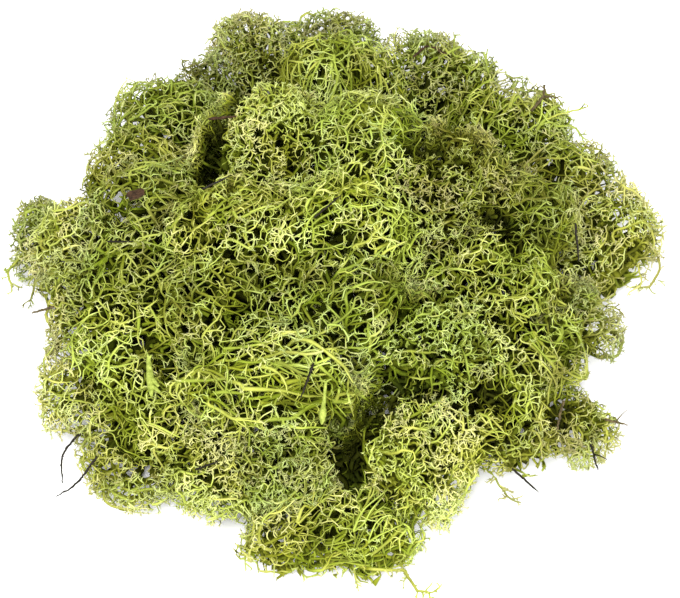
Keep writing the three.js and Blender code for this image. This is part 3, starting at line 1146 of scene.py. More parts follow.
class StrandTree:
    """The node tree that makes strands and prongs out of a skeleton of edges."""

    INPUTS = {
        "Fine sides": ("NodeSocketInt", 3),
        "Stout sides": ("NodeSocketInt", 4),
        "Flatness": ("NodeSocketFloat", 0.62),
        "Prong length": ("NodeSocketFloat", 0.001),
        "Prong radius": ("NodeSocketFloat", 0.0002),
        "Seed": ("NodeSocketInt", 0),
        "Finish": ("NodeSocketMaterial", None),
    }

    SPARE = (
        "tone", "age", "around", "along", "thick", "face", "aim", "prong", "stout", "many", "lean",
    )

    def __init__(self) -> None:
        """Builds the tree."""
        self.tree, self.names, bench, given = open_tree("moss_strands", self.INPUTS)
        stout = bench.named("stout", "BOOLEAN")
        fine = bench.get("FunctionNodeBooleanMath", {"operation": "NOT"}, {0: stout})
        meshes = [
            self._tubes(bench, given["Geometry"], fine, given["Fine sides"], 1.0),
            self._tubes(bench, given["Geometry"], stout, given["Stout sides"], given["Flatness"]),
            self._prongs(bench, given),
        ]
        join = bench.put("GeometryNodeJoinGeometry")
        for mesh in reversed(meshes):
            self.tree.links.new(mesh.socket, join.inputs[0])
        joined = Signal(bench, join.outputs[0])
        smooth = bench.get("GeometryNodeSetShadeSmooth", inputs={0: joined})
        # u carries the tone, v the age together with its painted shade; both feed the lichen colour
        u = 0.04 + 0.88 * bench.named("tone") + 0.03 * bench.named("around")
        v = 0.03 + 0.9 * bench.named("age") + 0.03 * bench.named("along")
        place = bench.get("ShaderNodeCombineXYZ", inputs={0: u, 1: v})
        mapped = bench.get(
            "GeometryNodeStoreNamedAttribute",
            {"data_type": "FLOAT2", "domain": "CORNER"},
            {"Geometry": smooth, "Name": BAKE_MAP, "Value": place},
        )
        bench.dressed(mapped, given["Finish"])

    @staticmethod
    def _tubes(
        bench: Bench, geometry: Signal, chosen: Signal, sides: Signal, flatness: "Signal | float"
    ) -> Signal:
        """Sweeps the chosen edges into closed tubes that taper as the skeleton says.

        Args:
            bench: where the nodes go.
            geometry: the skeleton.
            chosen: which edges to sweep.
            sides: sides of a tube.
            flatness: thickness across the surface as a share of the width.

        Returns:
            The tubes.
        """
        inputs = {"Mesh": geometry, "Selection": chosen}
        curve = bench.get("GeometryNodeMeshToCurve", inputs=inputs)
        inputs = {"Curve": curve, "Normal": bench.named("face", "FLOAT_VECTOR")}
        turned = bench.get("GeometryNodeSetCurveNormal", {"mode": "FREE"}, inputs)
        inputs = {"Resolution": sides, "Radius": 1.0}
        ring = bench.get("GeometryNodeCurvePrimitiveCircle", inputs=inputs)
        scale = bench.get("ShaderNodeCombineXYZ", inputs={0: flatness, 1: 1.0, 2: 1.0})
        ring = bench.get("GeometryNodeTransform", inputs={"Geometry": ring, "Scale": scale})
        ring = bench.stored(ring, "around", bench.get("GeometryNodeSplineParameter"))
        return bench.swept(turned, ring)

    @staticmethod
    def _prongs(bench: Bench, given: dict[str, Signal]) -> Signal:
        """Sets a few short spikes on every tip, spread like a small star.

        Args:
            bench: where the nodes go.
            given: the tree's inputs by name.

        Returns:
            The spikes.
        """
        many = bench.named("many", "INT")
        radius, length = given["Prong radius"], given["Prong length"]
        inputs = {"Mesh": given["Geometry"], "Selection": bench.named("prong", "BOOLEAN")}
        points = bench.get("GeometryNodeMeshToPoints", inputs=inputs)
        inputs = {"Geometry": points, "Amount": many}
        copies = bench.put("GeometryNodeDuplicateElements", {"domain": "POINT"}, inputs)
        turn = Signal(bench, copies.outputs["Duplicate Index"]) / many * (2 * math.pi)
        jitter = bench.chance(-0.7, 0.7, given["Seed"])
        lean = bench.chance(0.55, 1.3, given["Seed"] + 1)
        size = bench.chance(0.6, 1.25, given["Seed"] + 2)
        inputs = {0: lean * bench.named("lean"), 2: turn + jitter}
        euler = bench.get("ShaderNodeCombineXYZ", inputs=inputs)
        tilt = bench.get("FunctionNodeEulerToRotation", inputs={0: euler})
        inputs = {"Vector": bench.named("aim", "FLOAT_VECTOR")}
        aim = bench.get("FunctionNodeAlignRotationToVector", {"axis": "Z"}, inputs)
        inputs = {"Rotation": aim, "Rotate By": tilt}
        turned = bench.get("FunctionNodeRotateRotation", {"rotation_space": "LOCAL"}, inputs)
        inputs = {"Vertices": 3, "Radius Top": 0.0, "Radius Bottom": radius, "Depth": length}
        spike = bench.get("GeometryNodeMeshCone", inputs=inputs)
        place = bench.get("GeometryNodeInputPosition")
        where = bench.put("ShaderNodeSeparateXYZ", inputs={0: place})
        across = Signal(bench, where.outputs["X"]) / radius * 0.5 + 0.5
        spike = bench.stored(spike, "around", across)
        spike = bench.stored(spike, "along", Signal(bench, where.outputs["Z"]) / length)
        inputs = {
            "Points": Signal(bench, copies.outputs["Geometry"]),
            "Instance": spike,
            "Rotation": turned,
            "Scale": bench.get("ShaderNodeCombineXYZ", inputs={0: size, 1: size, 2: size}),
        }
        spikes = bench.get("GeometryNodeInstanceOnPoints", inputs=inputs)
        return bench.get("GeometryNodeRealizeInstances", inputs={0: spikes})


@dataclass
class Tuft:
    """One tuft of moss, from its solid to its dressed strands; lengths in mm."""

    name: str
    habit: Habit
    finish: str
    heading: float = 0.0  # the way its strands run, in degrees from +X
    fan: tuple[float, float] | None = None  # where its strands spread from instead
    stout: float = 1.0  # how thick its long strands are, against its habit's usual radius
    dense: float = 1.0  # how closely it is filled
    tone: float = 0.5  # how fresh and light its strands are, with painted shade on tufts in shadow and painted light on lit ones
    packed: float = 2.1  # distance between the stems inside it
    sprigs: tuple[tuple[tuple[float, float, float], ...], ...] = ()  # loose ends that stick out

    REAR = 0.65  # share of the fine branches kept on walls that face the back
    EAVES = 6.5  # how far inside the clump's outline the mat on the ground stays
    BACK_EAVES = 2.0  # and how far towards the back
    MAT = (0.95, 10.0)  # radius of the mat's stems, and the depth that sets their painted shade
    MAT_TOP = (5.0, 14.0)  # how high the mat grows, and how high under the open chasm
    MAT_GAP = 1.7  # distance between its goals
    RIM_TOP = (14, 27)  # how high the tangle of the rim grows, and how high at the back
    RIM_RADIUS = 0.3
    FINE = 0.42  # radius that no fine branch passes
    OLD = 1.25  # radius of the deepest stems
    FLAT = 0.32  # strands stouter than this are flattened
    # painted light and shade in the strands' colour:
    FADE = (0.12, 5.0, 1.25)  # light left inside, the depth that it fades over, and how suddenly
    UNDERSIDE = (0.27, 4.0)  # light at the underside, and how far up it goes
    GLOOM = 0.93  # share of the light that is lost in the gloomiest places
    ROOTS = 5  # how many places of the foot it grows from
    INNER_GAP = 3.7  # distance between the goals of its hidden stems
    RIM_GAP = 1.75  # and of its tangle in the rim
    FORKS = (0.12, 0.45, 0.9)  # chance that a strand forks, least and widest turn
    BRIDGES = (1.3, 3.6)  # length of the shortest and the longest bridge
    APART = 5  # points between two places of a strand that a bridge may link
    COURSE = ((0.3, 0.7, 0.7), (0.65, 0.6, 1.0), (1.0, 0.95, 0.0))  # a bridge's run, girth and sag
    JOIN = 2.0  # how far a loose tip reaches for the next branch
    FAR = 99.0  # farther than any branch is
    SPRIG = (0.9, 0.24, 1.6)  # a sprig's step, its radius, and the depth that sets its painted shade
    TWIGLET = (0.8, 0.2, 0.18)  # a fork's step, its radius and that of its prongs
    BARBED = 1.9  # barbs grow on branches no deeper than this
    PRONGED = (1.8, 2.2)  # depths down to which tips have all their prongs, and two

    def grow(
        self, seed: int, space: Envelope, others: list[Envelope], hollows: tuple[Dip, ...]
    ) -> None:
        """Grows the skeleton.

        Args:
            seed: starts its random choices.
            space: the space to fill.
            others: the spaces of the other tufts.
            hollows: where the moss lies lower or higher than its solids.
        """
        self.dips = [dip for dip in hollows if dip.near(space)]
        self.rng = np.random.default_rng(seed)
        self.plan = HABITS[self.habit]
        self.space = space
        self.others = [other for other in others if space.touches(other, 6.0)]
        self.skin, self.under = space.skins(self.rng, self.others, 0.75)
        drifts = [Drift.over(self.rng, length) for length in (16.0, 11.0, 15.0)]
        self.hollow, self.shade, self.hue = drifts
        if len(self.skin.points) < 20:
            self.skin = self.under
        self.knots = self._knots()
        self.bones = bones = Skeleton(self.skin)
        self._take_root()
        self._seek(self._inner_goals(), INNER)
        mat = self._seek(self._mat_goals(), MAT)
        bones.thick[mat], bones.depth[mat] = self.MAT
        self._seek(self._middle_goals(), MIDDLE)
        bones.thick[self._seek(self._rim_goals(), RIM)] = self.RIM_RADIUS
        self._lay_strands()
        self._lay_bridges()
        self._seek(self._shell_goals(), self.plan.growth)
        self._join_tips()
        loose = bones.count
        for path in self.sprigs:
            self._lay_sprig(np.array(path, float))
        bones.depth[loose : bones.count] = self.SPRIG[2]
        self._thicken()

    def _seek(self, goals: np.ndarray, plan: Growth) -> slice:
        """Grows branches towards goals, and says which points are new.

        Args:
            goals: where the branches should reach.
            plan: how they grow.

        Returns:
            The new points.
        """
        start = self.bones.count
        self.bones.seek(goals, plan, self.rng)
        return slice(start, self.bones.count)

    def _thicken(self) -> None:
        """Gives every point its radius, stoutest deep inside, and keeps it off the ground."""
        bones, tip = self.bones, self.plan.tip
        bones.finish(tip, self.FINE)
        places = bones.place[: bones.count]
        bay = deepest(BAYS, places)
        depth = np.maximum(bones.depth[: bones.count] - bay, 0.3)
        bones.depth[: bones.count] = depth
        low = np.maximum(self._gap(places) - bay, 0)
        deep = np.clip((depth - low - self.plan.shell) / 5.0, 0, 1)
        bones.radius = np.maximum(bones.radius, tip + (self.OLD - tip) * deep)
        bones.smooth(1)
        places[:, 2] = np.maximum(places[:, 2], 0.8 * bones.radius)

    def _knots(self) -> np.ndarray:
        """Picks the middles of the rosettes, spread over the skin.

        Returns:
            Their places.
        """
        chosen: list[np.ndarray] = []
        for point in self.skin.points[self.rng.permutation(len(self.skin.points))]:
            if all(((point - other) ** 2).sum() > self.plan.knot**2 for other in chosen):
                chosen.append(point)
        return np.array(chosen)

    def _sink(self, points: np.ndarray) -> np.ndarray:
        """How far the moss lies under the skin at these skin points.

        Args:
            points: places on the skin.

        Returns:
            The distances.
        """
        relief = self.plan.relief
        square = ((points[:, None, :] - self.knots[None]) ** 2).sum(2)
        out = np.sqrt(square.min(1)) / (0.62 * self.plan.knot)
        hollow = np.clip(self.hollow.at(points) - 0.7, 0, 1) * 1.4 * relief
        return relief * np.minimum(out, 1.15) ** 2 + hollow + self._gap(points)

    def _gap(self, points: np.ndarray) -> np.ndarray:
        """How far the dips lower the moss at these points."""
        sunk = np.array([np.zeros(len(points)), *(dip.sink(points) for dip in self.dips)])
        return sunk.max(0) + sunk.min(0)

    def _inside(self, points: np.ndarray) -> np.ndarray:
        """How far each point lies under the skin, and under the dips in it."""
        return self.skin.nearest(points)[1] - np.maximum(self._gap(points), 0)

    def _take_root(self) -> None:
        """Starts a few stems on the ground, or at the lowest place of the tuft."""
        foot = self.space.corners.reshape(-1, 3)
        foot = foot[foot[:, 2] < foot[:, 2].min() + 1.0]
        middle = foot.mean(0)
        roots = []
        for _ in range(self.ROOTS):
            corner = foot[self.rng.integers(len(foot))]
            roots.append(middle + (corner - middle) * self.rng.uniform(0.2, 0.75))
        roots = np.array(roots)
        roots[:, 2] += 0.6
        self.bones.add(roots, np.tile(UP, (len(roots), 1)), np.full(len(roots), -1))

    def _mine(self, points: np.ndarray, margin: float) -> np.ndarray:
        """Which points this tuft may grow to: inside it, or closer to it than to others.

        Args:
            points: the points to judge.
            margin: how far outside its solid they may lie.

        Returns:
            A truth value for each point.
        """
        off = self.space.beyond(points)
        fine = (off < margin) & (points[:, 2] > 0.5)
        for other in self.others:
            fine[fine] &= other.beyond(points[fine]) > np.minimum(off[fine], 0.0) - 0.2
        return fine

    def _strewn(self, low: np.ndarray, high: np.ndarray, spacing: float) -> np.ndarray:
        """Random points in a box, about this far apart."""
        count = int((high - low).prod() / spacing**3)
        return low + self.rng.random((count, 3)) * (high - low)

    def _loose(self, spacing: float) -> np.ndarray:
        """Random points inside the tuft, about this far apart."""
        points = self._strewn(self.space.low - 1, self.space.high + 1, spacing)
        return points[self._mine(points, 0.3)]

    def _inner_goals(self) -> np.ndarray:
        """Goals for the hidden stems: the whole inside, and one under each rosette.

        Returns:
            Their places.
        """
        index, _ = self.skin.nearest(self.knots)
        entries = self.knots - (self.plan.shell + 0.8) * self.skin.normals[index]
        points = self._loose(self.INNER_GAP)
        _, depth = self.skin.nearest(points)
        points = points[depth > 0.75 * np.maximum(self._gap(points), 0) + 0.5]
        return np.concatenate([points, entries[self._mine(entries, -0.5)]])

    def _mat_goals(self) -> np.ndarray:
        """Goals for the close mat of old stems on the ground.

        Returns:
            Their places.
        """
        low, high = self.space.low - 4, self.space.high + 4
        low[2], high[2] = 1.0, self.MAT_TOP[1]
        points = self._strewn(low, high, self.MAT_GAP)
        points = points[(points[:, 2] < self.MAT_TOP[0]) | (deepest(CHASM, points) > 1.0)]
        points = points[self._mine(points, 9.0)]
        return points[self._roofed(points, 2.0)]

    def _roofed(self, points: np.ndarray, share: float) -> np.ndarray:
        """Which points lie well inside the clump's outline.

        Args:
            points: the points to judge.
            share: how many times the usual distance they must lie inside it, towards the front.

        Returns:
            A truth value for each point.
        """
        roofed = np.ones(len(points), bool)
        for turn in range(8):
            angle = turn * math.tau / 8
            way = np.array([math.cos(angle), math.sin(angle), 0.0])
            far = self.EAVES * (share if way[1] < -0.3 else 1.0)
            aside = points + (self.BACK_EAVES if way[1] > 0.3 else far) * way
            roofed &= sum(space.cover(aside) for space in [self.space, *self.others]) > 3.0
            roofed &= deepest(BAYS, aside) < 1.5
        return roofed

    def _rim_goals(self) -> np.ndarray:
        """Goals for the tangle in the overhanging rim of the clump.

        Returns:
            Their places.
        """
        points = self._loose(self.RIM_GAP)
        top = np.where(points[:, 1] > 25, self.RIM_TOP[1], self.RIM_TOP[0])
        points = points[(points[:, 2] < top) & (points[:, 2] > 1)]
        _, depth = self.skin.nearest(points)
        buried = depth > 1.6 + np.maximum(self._gap(points), 0)
        points = points[buried & (self.space.beyond(points) < -0.7)]
        return points[~self._roofed(points, 1.0)]

    def _middle_goals(self) -> np.ndarray:
        """Goals for the tangle under the outer layer.

        Returns:
            Their places.
        """
        points = self._loose(self.packed)
        depth = self._inside(points)
        return points[(depth > 0.7 * self.plan.shell) & (depth < self.plan.shell + 3.2)]

    def _flow(self, place: np.ndarray) -> np.ndarray:
        """The way that the long strands run at a place.

        Args:
            place: the place asked about.

        Returns:
            The direction, level and of length 1.
        """
        if self.fan is not None:
            return unit(np.array([place[0] - self.fan[0], place[1] - self.fan[1], 0.0]))
        angle = math.radians(self.heading)
        return np.array([math.cos(angle), math.sin(angle), 0.0])

    def _lay_strands(self) -> None:
        """Lays long strands over the surface, side by side or crossing as the habit has it."""
        plan, rng, skin = self.plan, self.rng, self.skin
        loose = 0.35 if self.habit is Habit.STALKS else 1.2
        for _ in range(int(round(plan.strands * skin.area / 100))):
            index = rng.integers(len(skin.points))
            depth = rng.uniform(0.3, 3.2) + 0.7 * self._sink(skin.points[index][None])[0]
            place = skin.points[index] - depth * skin.normals[index]
            way = self._flow(place) + rng.normal(0, loose, 3) * 0.5
            length = plan.strand_length * rng.uniform(0.5, 1.3)
            radius = plan.strand * self.stout * rng.uniform(0.6, 1.15)
            self._strand(place, way, length, radius, depth, 1)

    def _strand(
        self,
        place: np.ndarray,
        way: np.ndarray,
        length: float,
        radius: float,
        depth: float,
        forks: int,
    ) -> None:
        """Lays one strand and its forks.

        Args:
            place: where it starts.
            way: the way that it sets off.
            length: how long it is.
            radius: its radius at the start.
            depth: how far under the skin it runs.
            forks: how many times it may still fork.
        """
        rng, skin, bones = self.rng, self.skin, self.bones
        index, _ = skin.nearest(place[None])
        normal = skin.normals[index[0]]
        way = unit(way - (way @ normal) * normal)
        home, gap = bones.closest(place)
        parent = home if gap < 30 else -1
        chance, least, widest = self.FORKS
        steps = max(4, int(length))
        bend = rng.normal(0, 0.06)
        for i in range(steps):
            share = i / steps
            thick = radius * (1 - 0.6 * share) * rng.uniform(0.85, 1.15)
            parent = bones.sprout(parent, place, way, thick)
            normal = skin.normals[bones.near[parent]]
            side = np.cross(normal, way)
            bend = 0.8 * bend + rng.normal(0, 0.07)
            way = way + bend * side + 0.12 * self._flow(place)
            way = unit(way - (way @ normal) * normal)
            if forks > 0 and i > 2 and rng.random() < chance:
                lean = rng.choice([-1, 1]) * rng.uniform(least, widest)
                turned = unit(way * math.cos(lean) + side * math.sin(lean))
                rest = (1 - share) * length * 0.7
                if rest > 3:
                    start = bones.place[parent] + turned
                    self._strand(start, turned, rest, thick * 0.8, depth * 0.8, forks - 1)
            place = place + way + rng.normal(0, 0.1, 3)
            index, _ = skin.nearest(place[None])
            top, normal = skin.points[index[0]], skin.normals[index[0]]
            wanted = depth + 0.8 * self._gap(place[None])[0]
            place = place + 0.5 * ((top - place) @ normal - wanted) * normal
            if ((top - place) ** 2).sum() > (depth + 3.0) ** 2:
                break

    def _lay_sprig(self, path: np.ndarray) -> None:
        """Grows a loose end along a path, with short forks on both sides.

        Args:
            path: the places that it passes, one a row.
        """
        bones, rng = self.bones, self.rng
        step, radius, _ = self.SPRIG
        parent, _ = bones.closest(path[0])
        line = [bones.place[parent], *path]
        for start, end in zip(line[:-1], line[1:]):
            steps = max(2, int(np.linalg.norm(end - start) / step))
            way = unit(end - start)
            for i in range(steps):
                place = start + (i + 1) / steps * (end - start) + rng.normal(0, 0.22, 3)
                parent = bones.sprout(parent, place, way, radius)
                if rng.random() < 0.75:
                    turned = unit(way + rng.normal(0, 0.9, 3))
                    self._twiglet(parent, turned, int(rng.integers(1, 5)))

    def _twiglet(self, parent: int, way: np.ndarray, length: int) -> None:
        """Grows a short crooked fork with a few prongs of its own.

        Args:
            parent: the point that it leaves from.
            way: the way that it sets off.
            length: how many steps long it is.
        """
        bones, rng = self.bones, self.rng
        step, radius, fine = self.TWIGLET
        for _ in range(length):
            way = unit(way + rng.normal(0, 0.35, 3))
            place = bones.place[parent] + step * way
            parent = bones.sprout(parent, place, way, radius)
            if rng.random() < 0.5:
                turned = unit(way + rng.normal(0, 0.8, 3))
                bones.sprout(parent, place + step * turned, turned, fine)

    def _lay_bridges(self) -> None:
        """Links neighbouring strands by short thin webs, which makes cells between them."""
        bones, rng = self.bones, self.rng
        strand = np.flatnonzero(bones.thick[: bones.count] > 0)
        number = int(round(self.plan.bridges * self.skin.area / 100))
        shortest, longest = self.BRIDGES
        if len(strand) < 12 or number == 0:
            return
        for i in rng.choice(strand, min(number, len(strand)), replace=False):
            run = bones.place[strand] - bones.place[i]
            gap = np.linalg.norm(run, axis=1)
            across = np.abs(run @ bones.heading[i]) < 0.6 * gap
            within = (gap > shortest) & (gap < longest)
            close = strand[within & across & (np.abs(strand - i) > self.APART)]
            if not len(close):
                continue
            j = int(rng.choice(close))
            run = bones.place[j] - bones.place[i]
            wide = min(bones.thick[i], bones.thick[j])
            sag = rng.normal(0, 0.25, 3)
            parent = int(i)
            for share, girth, bend in self.COURSE:
                place = bones.place[i] + share * run + bend * sag
                thick = max(girth * wide, self.plan.tip)
                parent = bones.sprout(parent, place, unit(run), thick)

    def _join_tips(self) -> None:
        """Grows loose tips on to the next branch, which closes the cells of a net."""
        bones, plan = self.bones, self.plan
        count = bones.count
        tips = np.flatnonzero((bones.sprouts[:count] == 0) & (bones.depth[:count] < plan.shell + 2))
        tips = tips[self.rng.random(len(tips)) < plan.joined]
        for i in tips:
            run = bones.place[:count] - bones.place[i]
            gap = np.linalg.norm(run, axis=1)
            gap[run @ bones.heading[i] < -0.2 * gap] = self.FAR
            line = i
            for _ in range(5):
                gap[line] = self.FAR
                line = bones.parent[line]
            gap[gap < 0.5] = self.FAR
            j = int(gap.argmin())
            if gap[j] < self.JOIN:
                bones.sprout(i, bones.place[j], unit(run[j]))

    def _shell_goals(self) -> np.ndarray:
        """Goals for the dense outer layer.

        Returns:
            Their places.
        """
        plan, rng = self.plan, self.rng
        count = int(self.skin.area * plan.shell / plan.spacing**3 * self.dense)
        index = rng.integers(len(self.skin.points), size=count)
        base = self.skin.points[index] + rng.normal(0, 0.6, (count, 3))
        depth = plan.shell * rng.random(count) ** 1.6 + self._sink(base)
        normal = self.skin.normals[index]
        goals = base - depth[:, None] * normal
        behind = normal @ np.array([0.0, -0.5, 0.87]) < -0.3
        kept = rng.random(count) < np.where(behind, self.REAR, 1.0)
        return goals[kept & self._mine(goals, 6.0)]

    def _painted_light(self) -> np.ndarray:
        """The painted light at each point: its colour darkens with depth and in the gloomy places,
        and stays lighter near the underside.

        Returns:
            A share for each, 1 in the open.
        """
        bones = self.bones
        places, depth = bones.place[: bones.count], bones.depth[: bones.count]
        left, reach, steep = self.FADE
        light = left + (1 - left) * np.exp(-((depth / reach) ** steep))
        if len(self.under.points):
            glow, height = self.UNDERSIDE
            _, bottom = self.under.nearest(places)
            light = np.maximum(light, glow * np.clip(1 - bottom / height, 0, 1))
        return light * (1 - self.GLOOM * deepest(GLOOMS, places))

    def _skeleton_mesh(self) -> bpy.types.Mesh:
        """Turns the skeleton into a mesh of edges with what the node tree needs on its points.

        Returns:
            The mesh, in metres.
        """
        bones, plan, rng = self.bones, self.plan, self.rng
        order, starts, owner = bones.chains()
        places, depth = bones.place[order], bones.depth[order]
        chains = owner.max() + 1
        first = np.flatnonzero(starts)
        radius = bones.radius[order]
        radius[first] = np.minimum(radius[first], 1.15 * radius[first + 1])
        # painted shade from depth, gloom and underside light, times the real freshness of the tips
        age = 0.04 + 0.94 * self._painted_light() * (0.68 + 0.32 * np.exp(-bones.height / 5.0))
        each = rng.normal(0, 0.16, chains)[owner]
        # painted shade: darker where dips lower the moss, lighter on mounds
        painted_dip_shade = -0.05 * np.clip(self._gap(places), -3, 5)
        tone = self.tone + 0.2 * self.shade.at(places) + each + painted_dip_shade
        cool = self.hue.at(places[starts]) + rng.normal(0, 0.2, chains) > 0
        widest = np.zeros(chains)
        np.maximum.at(widest, owner, np.where(depth < plan.shell, bones.thick[order], 0.0))
        links = np.flatnonzero(~starts)
        mesh = bpy.data.meshes.new(self.name + "_bones")
        mesh.vertices.add(len(order))
        mesh.vertices.foreach_set("co", (places * MM).ravel())
        mesh.edges.add(len(links))
        mesh.edges.foreach_set("vertices", np.c_[links - 1, links].ravel())
        tip = np.zeros(len(order), bool)
        tip[np.append(first[1:] - 1, len(order) - 1)] = True
        tip &= depth < plan.shell + plan.relief
        normal, heading = self.skin.normals[bones.near[order]], bones.heading[order]
        side = np.cross(normal, heading) * rng.choice([-1, 1], len(order))[:, None]
        barb = ~tip & ~starts & (depth < self.BARBED) & (rng.random(len(order)) < plan.barbs)
        sideways = 0.6 * heading + 0.8 * side + 0.25 * normal
        aim = unit(np.where(tip[:, None], heading + 0.35 * normal, sideways))
        full, two = self.PRONGED
        many = np.where(tip & (depth < two), np.where(depth < full, plan.star, 2), 1)
        for name, kind, key, values in (
            ("thick", "FLOAT", "value", radius * MM),
            ("age", "FLOAT", "value", np.clip(age[order], 0.01, 0.99)),
            ("tone", "FLOAT", "value", 0.02 + 0.45 * np.clip(tone, 0, 1) + 0.51 * cool[owner]),
            ("along", "FLOAT", "value", (np.arange(len(order)) % 2) * 1.0),
            ("stout", "BOOLEAN", "value", (widest > self.FLAT)[owner]),
            ("prong", "BOOLEAN", "value", tip | barb),
            ("many", "INT", "value", many),
            ("lean", "FLOAT", "value", np.where(tip, plan.spread, 0.15)),
            ("face", "FLOAT_VECTOR", "vector", normal.ravel()),
            ("aim", "FLOAT_VECTOR", "vector", aim.ravel()),
        ):
            mesh.attributes.new(name, kind, "POINT").data.foreach_set(key, values)
        return mesh

    def dress(self, tree: StrandTree, finishes: dict[str, bpy.types.Material]) -> None:
        """Makes the strands and puts them in the tuft's place.

        Args:
            tree: the node tree that makes strands.
            finishes: the lichen materials by name.
        """
        values = {
            "Prong length": self.plan.prong * MM,
            "Prong radius": self.plan.tip * 0.9 * MM,
            "Seed": int(self.rng.integers(1000)),
            "Finish": finishes[self.finish],
        }
        mesh = run_tree(tree, self.name + "_moss", self._skeleton_mesh(), values)
        settle(self.name + "_moss", mesh, self.name)


@dataclass
class Clump:
    """All the tufts."""

    tufts: list[Tuft]
    dips: tuple[Dip, ...] = CHASM + CLEFTS + MOUNDS + BAYS
    seed: int = 11

    def build(
        self, nodes: dict[str, bpy.types.Object], finishes: dict[str, bpy.types.Material]
    ) -> None:
        """Grows and dresses every tuft.

        Args:
            nodes: the solids by name.
            finishes: the lichen materials by name.
        """
        spaces = {tuft.name: Envelope.of(nodes[tuft.name].data) for tuft in self.tufts}
        tree = StrandTree()
        for number, tuft in enumerate(self.tufts):
            others = [space for name, space in spaces.items() if name != tuft.name]
            tuft.grow(self.seed * 100 + number, spaces[tuft.name], others, self.dips)
            tuft.dress(tree, finishes)


class Form(Enum):
    """The shapes that rods of litter have: how thick each is along its length."""

    NEEDLE = ((0.0, 0.7), (0.06, 1.0), (0.75, 0.85), (1.0, 0.15))
    TWIG = ((0.0, 0.9), (0.1, 1.0), (0.6, 0.85), (1.0, 0.5))
    HORN = ((0.0, 0.6), (0.12, 0.8), (0.5, 1.15), (0.8, 0.95), (1.0, 0.4))
    SPINDLE = ((0.0, 0.4), (0.35, 0.45), (0.55, 0.6), (0.75, 1.15), (0.88, 0.8), (1.0, 0.25))

    def girth(self, share: np.ndarray) -> np.ndarray:
        """The thickness at each share of the length, against the widest."""
        places, girths = zip(*self.value)
        return np.interp(share, places, girths)


class RodTree:
    """The node tree that turns a line into a rod with a rough skin."""

    INPUTS = {
        "Sides": ("NodeSocketInt", 9),
        "Grain": ("NodeSocketFloat", 900.0),
        "Relief": ("NodeSocketFloat", 0.0001),
        "Finish": ("NodeSocketMaterial", None),
    }
    SPARE = ("thick",)

    def __init__(self) -> None:
        """Builds the tree."""
        self.tree, self.names, bench, given = open_tree("litter_rod", self.INPUTS)
        curve = bench.get("GeometryNodeMeshToCurve", inputs={"Mesh": given["Geometry"]})
        inputs = {"Resolution": given["Sides"], "Radius": 1.0}
        tube = bench.swept(curve, bench.get("GeometryNodeCurvePrimitiveCircle", inputs=inputs))
        place = bench.get("GeometryNodeInputPosition")
        inputs = {"Vector": place, "Scale": given["Grain"], "Detail": 2.0}
        noise = bench.get("ShaderNodeTexNoise", {"noise_dimensions": "3D"}, inputs)
        normal = bench.get("GeometryNodeInputNormal")
        inputs = {0: normal, "Scale": (noise - 0.5) * given["Relief"] * 2.0}
        rise = bench.get("ShaderNodeVectorMath", {"operation": "SCALE"}, inputs)
        rough = bench.get("GeometryNodeSetPosition", inputs={"Geometry": tube, "Offset": rise})
        smooth = bench.get("GeometryNodeSetShadeSmooth", inputs={0: rough})
        bench.dressed(smooth, given["Finish"])


